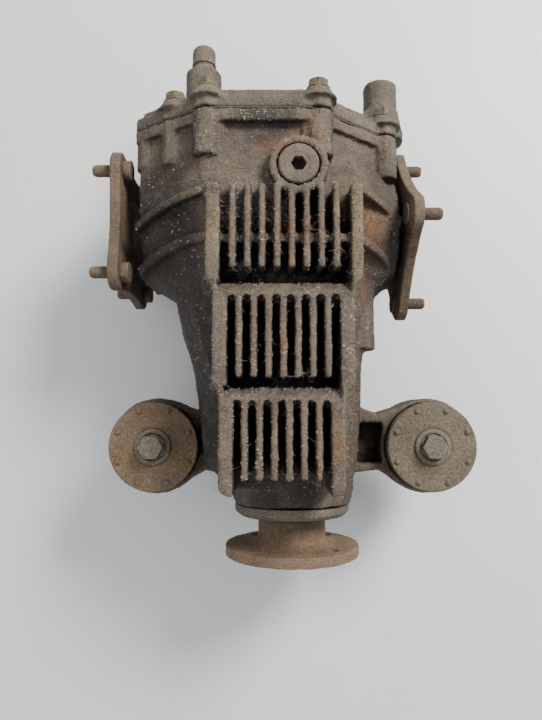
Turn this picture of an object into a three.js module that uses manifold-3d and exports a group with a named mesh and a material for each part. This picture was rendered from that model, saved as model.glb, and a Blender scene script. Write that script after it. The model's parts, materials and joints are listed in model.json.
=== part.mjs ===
// Rear-axle differential: finned cast carrier, rear cover, two mounting bushes, companion flange,
// two four-stud output flanges and the whole gear train. Millimetres, +Z up (the finned side),
// +Y towards the rear cover, X along the axle. Everything is drawn about the point where the
// pinion axis (Y) crosses the axle axis (X), and one outer group lifts it on to its feet.
import * as THREE from "three";
import { mergeVertices } from "three/addons/utils/BufferGeometryUtils.js";
import Module from "manifold-3d";

const wasm = await Module();
wasm.setup();

// ---------- driving dimensions ----------
const GAP = 0.3; // between pieces that touch
const RUN = 0.6; // between pieces that turn against each other
const FLOOR_Z = -90; // feet of the carrier
const FIN_TOP = 93;
const SKIN = 84; // outer radius of the carrier over the ring gear

// final drive
const RING_TEETH = 33;
const PINION_TEETH = 8;
const RING_RADIUS = 72; // pitch radius at the big end
const RING_FACE = 20;
const SPIRAL = THREE.MathUtils.degToRad(30);
// differential gears
const SIDE_TEETH = 16;
const SPIDER_TEETH = 10;
const SIDE_RADIUS = 25.6;
const DIFF_X = -8; // where the cross pin meets the axle axis
const CROSS_PIN_R = 6.5;

// cover joint
const JOINT_Y = 70; // front face of the gasket
const GASKET = 0.8;
const FLANGE_DEEP = 8.5;
const JOINT_CORNERS = [
  [-66, 84],
  [12, 84],
  [84, 30],
  [84, -30],
  [12, -84],
  [-66, -84],
  [-123, -48],
  [-123, 48],
];
const COVER_BOLTS = [
  [-64, 76],
  [18, 75],
  [74, 33],
  [74, -33],
  [18, -75],
  [-64, -76],
  [-91, -57],
  [-91, 57],
];
const EARS = [
  [-112, -41],
  [-112, 41],
]; // round corners with no bolt
const EAR_R = 11;
const COVER_BOLT_R = 4;
const COVER_BOSS_END = 88;
const COVER_BACK = 86;
const REAR_BOSSES = {
  left: { x: -76, z: 2, r: 15, end: 145, bore: 6.8, depth: 33 },
  right: { x: 78, z: 2, r: 14, end: 133.5, bore: 6, depth: 27 },
};

// outputs
const OUTPUTS = {
  left: { side: -1, face: -142, seat: -119, turn: Math.PI / 4, studHead: 6.5 },
  right: { side: 1, face: 96.5, seat: 84, turn: 0, studHead: 3.4 },
};
const FLANGE_PLATE = 8;
const STUD_CIRCLE_R = 58;
const STUD_R = 5;
const STUD_OUT = 16.5;
const LOBE_R = 14;
const HUB_R = 22;
const SHAFT_R = 13;
const SEAL_OUT_R = 33.7;
const SEAL_WIDE = 10;

// side bearings
const BEARING_CUP_R = 36;
const BEARINGS = { left: [-79, -64], right: [44, 59] };
const CAP_FOOT = { left: 58, right: 52 };
const TRUNNION_R = 20;
const CONE_R = 27.5;

// pinion line
const NOSE_END = -221.5;
const INNER_CUP = { r: 37.7, from: -112, to: -94 };
const OUTER_CUP = { r: 31.7, from: NOSE_END + 24, to: NOSE_END + 39 };
const PINION_SEAL = { r: 31.7, from: NOSE_END + 2, to: NOSE_END + 12 };
const FLANGE_R = 54;
const FLANGE_FRONT = -264;
const SHAFT_TIP_R = 9; // threaded end of the pinion
const SPLINE_R = 12.5;
const FLANGE_THICK = 8.5;
const FLANGE_HOLE_R = 5.3;
const FLANGE_HOLE_CIRCLE = 42;
const NECK_R = 27.5;
const TAIL_R = 22;

// mounting bushes
const BUSH = { x: 110, y: -177, eyeTop: 10, eyeBottom: -28, eyeR: 38, shellR: 34.4 };
const BUSH_SLEEVE = { rOut: 13.8, rIn: 6.9, foot: -33 };
const BUSH_PLATE_TOP = 26;
const BUSH_PLATE_R = 35.2;

// drain plug
const PLUG = { x: 2.5, y: 25, r: 14.7, top: 92.5, boss: 20.5, socket: 10 };

const FINISHES = {
  casting: { color: 0x78695b, roughness: 0.9, metalness: 0.25 },
  rusty: { color: 0x8c7355, roughness: 0.85, metalness: 0.35 },
  steel: { color: 0x9a9a98, roughness: 0.35, metalness: 0.9 },
  zinc: { color: 0x8a8260, roughness: 0.6, metalness: 0.6 },
  rubber: { color: 0x1c1b1b, roughness: 0.9, metalness: 0.0 },
  gasket: { color: 0x4a4640, roughness: 0.95, metalness: 0.0 },
};

// sides of round shapes
const FINE = 24;
const MEDIUM = 18;
const COARSE = 12;
const SMALL = 8;

// ---------- making solids ----------
const X_AXIS = new THREE.Vector3(1, 0, 0);
const Y_AXIS = new THREE.Vector3(0, 1, 0);
const Z_AXIS = new THREE.Vector3(0, 0, 1);

// A closed three.js geometry as a manifold solid that faces outwards.
function solid(source) {
  const bare = source.index ? source.toNonIndexed() : source.clone();
  bare.deleteAttribute("normal");
  bare.deleteAttribute("uv");
  const merged = mergeVertices(bare, 1e-4);
  const faces = [];
  const index = merged.index.array;
  for (let i = 0; i < index.length; i += 3) {
    const [a, b, c] = [index[i], index[i + 1], index[i + 2]];
    if (a !== b && b !== c && a !== c) faces.push(a, b, c);
  }
  const build = (triVerts) =>
    new wasm.Manifold(
      new wasm.Mesh({
        numProp: 3,
        vertProperties: merged.attributes.position.array,
        triVerts: new Uint32Array(triVerts),
      }),
    );
  const made = build(faces);
  if (made.volume() > 0) return made;
  for (let i = 0; i < faces.length; i += 3) [faces[i], faces[i + 1]] = [faces[i + 1], faces[i]];
  return build(faces);
}

const join = (first, ...rest) => rest.reduce((sum, piece) => sum.add(piece), first);
const cut = (first, ...rest) => rest.reduce((left, piece) => left.subtract(piece), first);

function box(x0, x1, y0, y1, z0, z1) {
  const block = new THREE.BoxGeometry(x1 - x0, y1 - y0, z1 - z0);
  block.translate((x0 + x1) / 2, (y0 + y1) / 2, (z0 + z1) / 2);
  return solid(block);
}

// Turns a shape made along +Y so that it runs along another axis.
function along(geometry, axis) {
  const turn = new THREE.Quaternion().setFromUnitVectors(Y_AXIS, axis);
  return geometry.applyQuaternion(turn);
}

// A profile of [radius, distance along the axis] turned about an axis through a centre.
function turned(profile, axis, centre = [0, 0, 0], sides = MEDIUM) {
  const points = profile.map(([r, t]) => new THREE.Vector2(r, t));
  const body = along(new THREE.LatheGeometry(points, sides), axis);
  return solid(body.translate(...centre));
}

function drum(r, from, to, axis, centre = [0, 0, 0], sides = MEDIUM) {
  const profile = [
    [0, from],
    [r, from],
    [r, to],
    [0, to],
  ];
  return turned(profile, axis, centre, sides);
}

function tube(rOut, rIn, from, to, axis, centre = [0, 0, 0], sides = MEDIUM) {
  const profile = [
    [rIn, from],
    [rOut, from],
    [rOut, to],
    [rIn, to],
    [rIn, from],
  ];
  return turned(profile, axis, centre, sides);
}

const hexR = (acrossFlats) => acrossFlats / Math.sqrt(3);

// A shape in (X, Y) raised along Z.
function raised(shape, z0, z1, curveSegments = 6) {
  const block = new THREE.ExtrudeGeometry(shape, { depth: z1 - z0, bevelEnabled: false, curveSegments });
  return solid(block.translate(0, 0, z0));
}

// A shape in (Y, Z) run along X.
function runAlongX(shape, x0, x1, curveSegments = 6) {
  const block = new THREE.ExtrudeGeometry(shape, { depth: x1 - x0, bevelEnabled: false, curveSegments });
  block.applyMatrix4(new THREE.Matrix4().makeBasis(Y_AXIS, Z_AXIS, X_AXIS));
  return solid(block.translate(x0, 0, 0));
}

const shapeOf = (points) => new THREE.Shape(points.map(([a, b]) => new THREE.Vector2(a, b)));

// A skin over rings of points, all with the same count, closed by a fan at each end.
function skinOver(rings) {
  const count = rings[0].length;
  const middle = (ring) =>
    ring.reduce((sum, p) => sum.add(p), new THREE.Vector3()).divideScalar(count);
  const points = [...rings.flat(), middle(rings[0]), middle(rings[rings.length - 1])];
  const first = points.length - 2;
  const last = points.length - 1;
  const top = (rings.length - 1) * count;
  const faces = [];
  for (let i = 0; i < count; i++) {
    const j = (i + 1) % count;
    faces.push(first, j, i, last, top + i, top + j);
    for (let ring = 0; ring < rings.length - 1; ring++) {
      const a = ring * count;
      const b = a + count;
      faces.push(a + i, a + j, b + j, a + i, b + j, b + i);
    }
  }
  const body = new THREE.BufferGeometry().setFromPoints(points);
  body.setIndex(faces);
  return solid(body);
}

// The same corners as [x, z] outlines at several places along Y.
function loftAlongY(stations) {
  return skinOver(
    stations.map(([y, outline]) => outline.map(([x, z]) => new THREE.Vector3(x, y, z))),
  );
}

// A convex outline moved inwards by a distance.
function inset(corners, distance) {
  const count = corners.length;
  const area = corners.reduce((sum, [x, y], i) => {
    const [u, v] = corners[(i + 1) % count];
    return sum + x * v - u * y;
  }, 0);
  const inward = area > 0 ? 1 : -1;
  const edges = corners.map(([x, y], i) => {
    const [u, v] = corners[(i + 1) % count];
    const length = Math.hypot(u - x, v - y);
    const normal = [(-(v - y) / length) * inward, ((u - x) / length) * inward];
    return { normal, offset: normal[0] * x + normal[1] * y + distance };
  });
  return corners.map((_, i) => {
    const a = edges[(i + count - 1) % count];
    const b = edges[i];
    const det = a.normal[0] * b.normal[1] - a.normal[1] * b.normal[0];
    return [
      (a.offset * b.normal[1] - b.offset * a.normal[1]) / det,
      (a.normal[0] * b.offset - b.normal[0] * a.offset) / det,
    ];
  });
}

// ---------- the scene ----------
const assembly = new THREE.Group();
const group = new THREE.Group();
group.add(assembly);

function add(name, made, finish) {
  const mesh = made.getMesh();
  const geometry = new THREE.BufferGeometry();
  geometry.setAttribute("position", new THREE.BufferAttribute(mesh.vertProperties, 3));
  geometry.setIndex(new THREE.BufferAttribute(mesh.triVerts, 1));
  geometry.computeVertexNormals();
  const node = new THREE.Mesh(geometry, new THREE.MeshStandardMaterial(FINISHES[finish]));
  node.name = name;
  assembly.add(node);
}

// ---------- bevel gears ----------
const involute = (angle) => Math.tan(angle) - angle;

// Rings of points of a bevel gear whose cone has its tip at `apex`. `zero` is where a tooth
// (or with phase 0.5 a gap) stands, `lean(distance)` turns each ring to make a spiral.
function bevelRings(gear) {
  const { apex, axis, zero, teeth, cone, distance, face, addendum, dedendum } = gear;
  const { thickness, pressure, phase = 0, lean = () => 0, sections = 2, steps = 3 } = gear;
  const third = new THREE.Vector3().crossVectors(axis, zero);
  const virtual = (distance * Math.sin(cone)) / Math.cos(cone);
  const base = virtual * Math.cos(pressure);
  const halfWidth = (height) => {
    const at = virtual + height;
    const slope = at > base ? Math.acos(base / at) : 0;
    return at * (thickness / 2 / virtual + involute(pressure) - involute(slope));
  };
  const heights = Array.from(
    { length: steps },
    (_, i) => -dedendum + ((addendum + dedendum) * i) / (steps - 1),
  );
  const rings = [];
  for (let section = 0; section < sections; section++) {
    const reach = distance - face + (face * section) / (sections - 1);
    const scale = reach / distance;
    const ring = [];
    for (let tooth = 0; tooth < teeth; tooth++) {
      const middle = ((tooth + phase) * 2 * Math.PI) / teeth + lean(reach);
      const flank = heights.map((height) => {
        const radius = reach * Math.sin(cone) + height * scale * Math.cos(cone);
        const axial = reach * Math.cos(cone) - height * scale * Math.sin(cone);
        return { radius, axial, half: (halfWidth(height) * scale) / radius };
      });
      const place = ({ radius, axial, half }, side) => {
        const angle = middle + side * half;
        return apex
          .clone()
          .addScaledVector(axis, axial)
          .addScaledVector(zero, radius * Math.cos(angle))
          .addScaledVector(third, radius * Math.sin(angle));
      };
      flank.forEach((point) => ring.push(place(point, -1)));
      [...flank].reverse().forEach((point) => ring.push(place(point, 1)));
    }
    rings.push(ring);
  }
  return rings;
}

const ORIGIN = new THREE.Vector3();
const RATIO = RING_TEETH / PINION_TEETH;
const RING_CONE = Math.atan(RATIO);
const CONE_DISTANCE = RING_RADIUS / Math.sin(RING_CONE);
const DRIVE_MODULE = (2 * RING_RADIUS) / RING_TEETH;
const PINION_SHARE = 0.58; // of one tooth pitch that the stronger pinion tooth takes
const DRIVE_PLAY = 0.35;
const leanOfRing = (reach) =>
  ((reach - (CONE_DISTANCE - RING_FACE / 2)) * Math.tan(SPIRAL)) / RING_RADIUS;

function ringGear() {
  const rings = bevelRings({
    apex: ORIGIN,
    axis: X_AXIS.clone().negate(),
    zero: Y_AXIS.clone().negate(),
    teeth: RING_TEETH,
    cone: RING_CONE,
    distance: CONE_DISTANCE,
    face: RING_FACE,
    addendum: 0.45 * DRIVE_MODULE,
    dedendum: 1.35 * DRIVE_MODULE,
    thickness: Math.PI * DRIVE_MODULE * (1 - PINION_SHARE) - DRIVE_PLAY,
    pressure: THREE.MathUtils.degToRad(20),
    phase: 0.5,
    lean: leanOfRing,
    sections: 3,
    steps: 2,
  });
  const back = -42;
  const rim = rings[rings.length - 1].map((p) => new THREE.Vector3(back, p.y, p.z));
  return cut(skinOver([...rings, rim]), drum(48, -60, 0, X_AXIS, [0, 0, 0], FINE));
}

function drivePinion() {
  const rings = bevelRings({
    apex: ORIGIN,
    axis: Y_AXIS.clone().negate(),
    zero: X_AXIS.clone().negate(),
    teeth: PINION_TEETH,
    cone: Math.PI / 2 - RING_CONE,
    distance: CONE_DISTANCE,
    face: RING_FACE,
    addendum: 1.15 * DRIVE_MODULE,
    dedendum: 0.62 * DRIVE_MODULE,
    thickness: Math.PI * DRIVE_MODULE * PINION_SHARE - DRIVE_PLAY,
    pressure: THREE.MathUtils.degToRad(20),
    lean: (reach) => -leanOfRing(reach) * RATIO,
    sections: 6,
    steps: 4,
  });
  const shaft = turned(
    [
      [0, FLANGE_FRONT + 1],
      [SHAFT_TIP_R, FLANGE_FRONT + 1],
      [SHAFT_TIP_R, FLANGE_FRONT + 14],
      [SPLINE_R, FLANGE_FRONT + 14],
      [SPLINE_R, OUTER_CUP.from - 1],
      [14, OUTER_CUP.from - 1],
      [14, -120],
      [17.5, -118],
      [17.5, -90],
      [20, -89.5],
      [20, -78],
      [14, -71],
      [0, -71],
    ],
    Y_AXIS,
    [0, 0, 0],
    MEDIUM,
  );
  return join(skinOver(rings), shaft);
}

const SIDE_CONE = Math.atan(SIDE_TEETH / SPIDER_TEETH);
const DIFF_DISTANCE = SIDE_RADIUS / Math.sin(SIDE_CONE);
const DIFF_MODULE = (2 * SIDE_RADIUS) / SIDE_TEETH;
const DIFF_FACE = 10;
const DIFF_APEX = new THREE.Vector3(DIFF_X, 0, 0);
const DIFF_PLAY = 0.5;
const DIFF_PRESSURE = THREE.MathUtils.degToRad(22.5);
const SPIDER_SHARE = 0.56;

function sideGear(side) {
  const axis = X_AXIS.clone().multiplyScalar(side);
  const rings = bevelRings({
    apex: DIFF_APEX,
    axis,
    zero: Z_AXIS,
    teeth: SIDE_TEETH,
    cone: SIDE_CONE,
    distance: DIFF_DISTANCE,
    face: DIFF_FACE,
    addendum: 0.65 * DIFF_MODULE,
    dedendum: 1.2 * DIFF_MODULE,
    thickness: Math.PI * DIFF_MODULE * (1 - SPIDER_SHARE) - DIFF_PLAY,
    pressure: DIFF_PRESSURE,
    phase: 0.5,
    steps: 2,
  });
  const back = DIFF_X + side * 22.5;
  const rim = rings[rings.length - 1].map((p) => new THREE.Vector3(back, p.y * 0.9, p.z * 0.9));
  const teeth = skinOver([...rings, rim]);
  const hub = drum(19, 17, 36, axis, DIFF_APEX.toArray());
  const bore = drum(SHAFT_R + 0.4, 0, 50, axis, DIFF_APEX.toArray(), MEDIUM);
  return cut(join(teeth, hub), bore);
}

function spiderGear(side) {
  const axis = Z_AXIS.clone().multiplyScalar(side);
  const rings = bevelRings({
    apex: DIFF_APEX,
    axis,
    zero: X_AXIS,
    teeth: SPIDER_TEETH,
    cone: Math.PI / 2 - SIDE_CONE,
    distance: DIFF_DISTANCE,
    face: DIFF_FACE,
    addendum: 0.95 * DIFF_MODULE,
    dedendum: 0.85 * DIFF_MODULE,
    thickness: Math.PI * DIFF_MODULE * SPIDER_SHARE - DIFF_PLAY,
    pressure: DIFF_PRESSURE,
  });
  const teeth = skinOver(rings);
  const back = turned(
    [
      [0, 24],
      [13.4, 27],
      [13.4, 30.5],
      [8, 32.6],
      [0, 32.6],
    ],
    axis,
    DIFF_APEX.toArray(),
  );
  const bore = drum(CROSS_PIN_R + 0.5, 0, 50, axis, DIFF_APEX.toArray(), MEDIUM);
  return cut(join(teeth, back), bore);
}

// ---------- gear train around the axle ----------
// Inside of the case about the middle of the cross pin.
const CASE_ROOM = [
  [0, -28],
  [27, -26],
  [35, -15],
  [35, 15],
  [27, 26],
  [0, 28],
];

function diffCase() {
  const outside = turned(
    [
      [0, -82],
      [TRUNNION_R, -82],
      [TRUNNION_R, -62.4],
      [27, -62.4],
      [30, -52.4],
      [66, -52.4],
      [66, -42.4],
      [47.6, -42.4],
      [47.6, -26],
      [44, -24],
      [44, 24],
      [28, 38],
      [27, 42.4],
      [TRUNNION_R, 42.4],
      [TRUNNION_R, 62],
      [0, 62],
    ],
    X_AXIS,
    [0, 0, 0],
    FINE,
  );
  const room = turned(CASE_ROOM, X_AXIS, DIFF_APEX.toArray());
  const hubs = drum(19 + RUN, DIFF_X - 36.8, DIFF_X + 36.8, X_AXIS, [0, 0, 0], MEDIUM);
  const shaftBore = drum(SHAFT_R + 1, -90, 70, X_AXIS, [0, 0, 0], MEDIUM);
  const pinBore = drum(CROSS_PIN_R + GAP, -60, 60, Z_AXIS, [DIFF_X, 0, 0], COARSE);
  const window = box(DIFF_X - 19, DIFF_X + 26, -60, 60, -20, 20);
  return cut(outside, room, hubs, shaftBore, pinBore, window);
}

function outputFlange({ side, face, turn }) {
  const axis = X_AXIS.clone().multiplyScalar(side);
  const outer = Math.abs(face);
  const plate = new THREE.Shape();
  const corner = (i) => turn + (i * Math.PI) / 2;
  for (let i = 0; i < 4; i++) {
    const at = corner(i);
    const centre = [STUD_CIRCLE_R * Math.cos(at), STUD_CIRCLE_R * Math.sin(at)];
    const sweep = THREE.MathUtils.degToRad(58);
    plate.absarc(centre[0], centre[1], LOBE_R, at - sweep, at + sweep, false);
    const next = corner(i + 1) - sweep;
    const landing = [
      STUD_CIRCLE_R * Math.cos(corner(i + 1)) + LOBE_R * Math.cos(next),
      STUD_CIRCLE_R * Math.sin(corner(i + 1)) + LOBE_R * Math.sin(next),
    ];
    const halfway = at + Math.PI / 4;
    plate.quadraticCurveTo(46 * Math.cos(halfway), 46 * Math.sin(halfway), ...landing);
  }
  const inner = side * (outer - FLANGE_PLATE);
  const slab = runAlongX(plate, Math.min(inner, face), Math.max(inner, face), 5);
  const start = Math.abs(DIFF_X + side * 12);
  const neck = turned(
    [
      [0, start],
      [SHAFT_R, start],
      [SHAFT_R, outer - 34],
      [HUB_R, outer - 32],
      [HUB_R, outer - FLANGE_PLATE - 3.5],
      [HUB_R + 8, outer - FLANGE_PLATE + 1],
      [0, outer - FLANGE_PLATE + 1],
    ],
    axis,
    [0, 0, 0],
    MEDIUM,
  );
  const pilot = drum(20, outer - 3, outer + 1, axis, [0, 0, 0], MEDIUM);
  const holes = studPlaces(turn).map(([y, z]) =>
    drum(STUD_R + GAP, outer - 20, outer + 5, axis, [0, y, z], SMALL),
  );
  return cut(join(slab, neck), pilot, ...holes);
}

function studPlaces(turn) {
  return [0, 1, 2, 3].map((i) => [
    STUD_CIRCLE_R * Math.cos(turn + (i * Math.PI) / 2),
    STUD_CIRCLE_R * Math.sin(turn + (i * Math.PI) / 2),
  ]);
}

function outputStud({ side, face, studHead }, [y, z]) {
  const axis = X_AXIS.clone().multiplyScalar(side);
  const outer = Math.abs(face);
  const headBack = outer - FLANGE_PLATE - GAP;
  return turned(
    [
      [0, headBack - studHead],
      [8, headBack - studHead],
      [8, headBack],
      [STUD_R, headBack],
      [STUD_R, outer + STUD_OUT],
      [0, outer + STUD_OUT],
    ],
    axis,
    [0, y, z],
    SMALL,
  );
}

// Tapered races; the open side of the cone faces `side` along the axis.
function bearingCup(rOut, from, to, axis, wide) {
  const narrow = rOut - 6.5;
  const mouth = rOut - 3;
  const [first, second] = wide === "to" ? [narrow, mouth] : [mouth, narrow];
  return turned(
    [
      [first, from],
      [rOut, from],
      [rOut, to],
      [second, to],
      [first, from],
    ],
    axis,
  );
}

function bearingCone(rIn, rOut, from, to, axis, wide) {
  const [first, second] = wide === "to" ? [rOut - 3.5, rOut] : [rOut, rOut - 3.5];
  return turned(
    [
      [rIn, from],
      [first, from],
      [second, to],
      [rIn, to],
      [rIn, from],
    ],
    axis,
  );
}

function bearingCap([from, to], foot) {
  const shape = new THREE.Shape();
  shape.moveTo(GAP, -foot);
  shape.lineTo(12, -foot);
  shape.lineTo(12, -foot + 8);
  shape.quadraticCurveTo(14, -42, 27, -36);
  shape.absarc(0, 0, 45, Math.atan2(-36, 27), Math.atan2(36, 27), false);
  shape.quadraticCurveTo(14, 42, 12, foot - 8);
  shape.lineTo(12, foot);
  shape.lineTo(GAP, foot);
  const cap = runAlongX(shape, from + 0.5, to - 0.5, 10);
  return cut(cap, drum(BEARING_CUP_R + GAP, from - 5, to + 5, X_AXIS, [0, 0, 0], MEDIUM));
}

// ---------- carrier housing ----------
// Each tier: its borders, the inner side of its right border, its ribs, and where they run.
const TIERS = [
  {
    ...{ left: -58.1, right: 42.1, rim: 3, first: -44.1, pitch: 10.4, ribs: 8 },
    ...{ back: 12, free: -49.7, end: -59.8 },
  },
  {
    ...{ left: -52.5, right: 35.7, rim: 4.7, first: -39.3, pitch: 10.25, ribs: 7 },
    ...{ back: -68.8, free: -126, end: -133.7 },
  },
  {
    ...{ left: -47.8, right: 28.6, rim: 4.7, first: -35.1, pitch: 10.15, ribs: 6 },
    ...{ back: -141.5, free: -195.7, end: -202.5, open: 10 },
  },
];
const FIN_START = 10;
const FIN_LIP = 4.5; // beyond the last trench
const BORDER = 9.5; // width of the thick rib along each side
const RIB = 4.2;
const FIN_ROOT = 46;
const FLANK = { x: 52, z: 22, r: 14, from: -100, to: -45 }; // swelling beside the middle fins

// Plan of the finned block: both sides step inwards between the tiers in soft S curves.
function finPlan() {
  const half = BORDER / 2;
  const plan = new THREE.Shape();
  plan.moveTo(TIERS[0].left - half, FIN_START);
  TIERS.forEach((tier, i) => {
    const x = tier.left - half;
    const next = TIERS[i + 1];
    plan.lineTo(x, tier.end + (next ? 6 : 3));
    if (next) {
      const x2 = next.left - half;
      const y2 = tier.end - 8;
      plan.bezierCurveTo(x, tier.end, x2, tier.end, x2, y2);
    }
  });
  const [last] = TIERS.slice(-1);
  const lip = last.end - FIN_LIP;
  plan.quadraticCurveTo(last.left - half, lip + 1, last.left + 8, lip);
  plan.lineTo(last.right - 8, lip);
  plan.quadraticCurveTo(last.right + half, lip + 1, last.right + half, last.end + 3);
  [...TIERS].reverse().forEach((tier, i, all) => {
    const x = tier.right + half;
    const next = all[i + 1];
    if (next) {
      const x2 = next.right + half;
      plan.lineTo(x, next.end - 8);
      plan.bezierCurveTo(x, next.end, x2, next.end, x2, next.end + 6);
    } else plan.lineTo(x, FIN_START);
  });
  return plan;
}

function slotsOf(tier) {
  const inner = [tier.left + BORDER / 2, tier.right - tier.rim];
  const edges = [inner[0]];
  for (let i = 0; i < tier.ribs; i++) {
    const x = tier.first + i * tier.pitch;
    edges.push(x - RIB / 2, x + RIB / 2);
  }
  edges.push(inner[1]);
  const front = tier.end - (tier.open ?? 0); // the last trench runs out over the nose
  const slots = [box(inner[0], inner[1], front, tier.free, FIN_ROOT, 120)];
  for (let i = 0; i < edges.length; i += 2) {
    slots.push(box(edges[i], edges[i + 1], tier.free - 1, tier.back, FIN_ROOT, 120));
  }
  return slots;
}

function finBlock() {
  const block = raised(finPlan(), 20, FIN_TOP, 5);
  const crossRib = box(TIERS[0].left, TIERS[0].right, -30, -24.5, 60, 87);
  return join(cut(block, ...TIERS.flatMap(slotsOf)), crossRib);
}

// Outside of the barrel: [radius, x], turned about the axle.
const BARREL = [
  [0, -119],
  [44, -119],
  [60, -92],
  [SKIN, -61],
  [SKIN, -8],
  [72, 8],
  [72, 46],
  [46, 78],
  [44, 84],
  [0, 84],
];
// Inside: room for the ring gear and the case.
const ROOM = [
  [0, -104],
  [38, -104],
  [52, -92],
  [76.5, -56],
  [76.5, -10],
  [62, 6],
  [56, 60],
  [38, 69],
  [0, 69],
];
const RIB_LINE = [
  [0, -121],
  [56, -121],
  [72, -92],
  [90, -61],
  [90, 44],
  [62, 68],
  [46, 79],
  [44, 86],
  [0, 86],
];

const oval = (left, right, top, bottom, count = 16) =>
  Array.from({ length: count }, (_, i) => {
    const angle = (i * 2 * Math.PI) / count;
    const soft = (v) => Math.sign(v) * Math.abs(v) ** 0.8;
    const x = (left + right) / 2 + ((right - left) / 2) * soft(Math.cos(angle));
    const z = (top + bottom) / 2 + ((top - bottom) / 2) * soft(Math.sin(angle));
    return [x, z];
  });

function nose() {
  return loftAlongY([
    [-45, oval(-100, 72, 66, -66)],
    [-85, oval(-91, 62, 62, -60)],
    [-112, oval(-82, 58, 60, -56)],
    [-142, oval(-77, 57, 58, -54)],
    [-186, oval(-73, 54, 54, -52)],
    [NOSE_END + 20, oval(-60, 50, 52, -50)],
    [NOSE_END + 12, oval(-50, 50, 50, -50)],
    [NOSE_END, oval(-47, 47, 47, -47)],
  ]);
}

// Curved strips seen from above, each kept only as high as the rib line allows.
function shoulderRibs() {
  const strips = [
    [[-56, 12], [-92, 13], [-121, -6], 6],
    [[-58, -22], [-95, -19], [-126, -40], 6],
    [[42, 13], [64, 13], [86, 2], 6],
    [[42, -24], [66, -22], [84, -36], 6],
  ];
  const highRibs = strips.map(([from, bend, to, wide]) => {
    const strip = new THREE.Shape();
    strip.moveTo(from[0], from[1]);
    strip.quadraticCurveTo(bend[0], bend[1], to[0], to[1]);
    strip.lineTo(to[0], to[1] - wide);
    strip.quadraticCurveTo(bend[0], bend[1] - wide, from[0], from[1] - wide);
    return raised(strip, -88, 88, 5);
  });
  return join(...highRibs).intersect(turned(RIB_LINE, X_AXIS, [0, 0, 0], FINE));
}

function arm(side) {
  const { x, y, eyeTop, eyeBottom, eyeR } = BUSH;
  const inner = side < 0 ? -60 : 42;
  const plan = shapeOf([
    [inner, y + 36],
    [side * (x - 40), y + 26],
    [side * (x - 14), y + 34],
    [side * (x - 14), y - 34],
    [side * (x - 40), y - 19],
    [inner, y - 22],
  ]);
  const beam = raised(plan, eyeBottom + 8, eyeTop);
  const pocket = box(x - 59, x - 36, y - 14, y + 19, -12, 40);
  const eye = drum(eyeR, eyeBottom, eyeTop, Z_AXIS, [side * x, y, 0], FINE);
  return join(side > 0 ? cut(beam, pocket) : beam, eye);
}

function feet() {
  const runner = (x, wide, y0, y1) => box(x, x + wide, y0, y1, FLOOR_Z, -30);
  const cross = (y, deep, x0, x1) => box(x0, x1, y, y + deep, FLOOR_Z + 6, -30);
  return join(
    runner(-48, 10, -150, 60),
    runner(22, 10, -150, 60),
    cross(-150, 8, -48, 24),
    cross(-84, 8, -48, 24),
  );
}

// A bearing seat that stands up from the wall of the room, as wide as `reach` lets it.
function saddle([from, to], reach) {
  const outline = shapeOf([
    [0, -reach],
    [0, reach],
    [-0.62 * reach, 0.78 * reach],
    [-0.94 * reach, 0.34 * reach],
    [-0.94 * reach, -0.34 * reach],
    [-0.62 * reach, -0.78 * reach],
  ]);
  const seat = drum(BEARING_CUP_R + GAP, from - 6, to + 6, X_AXIS);
  return cut(runAlongX(outline, from - 1.5, to + 1.5), seat);
}

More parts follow.
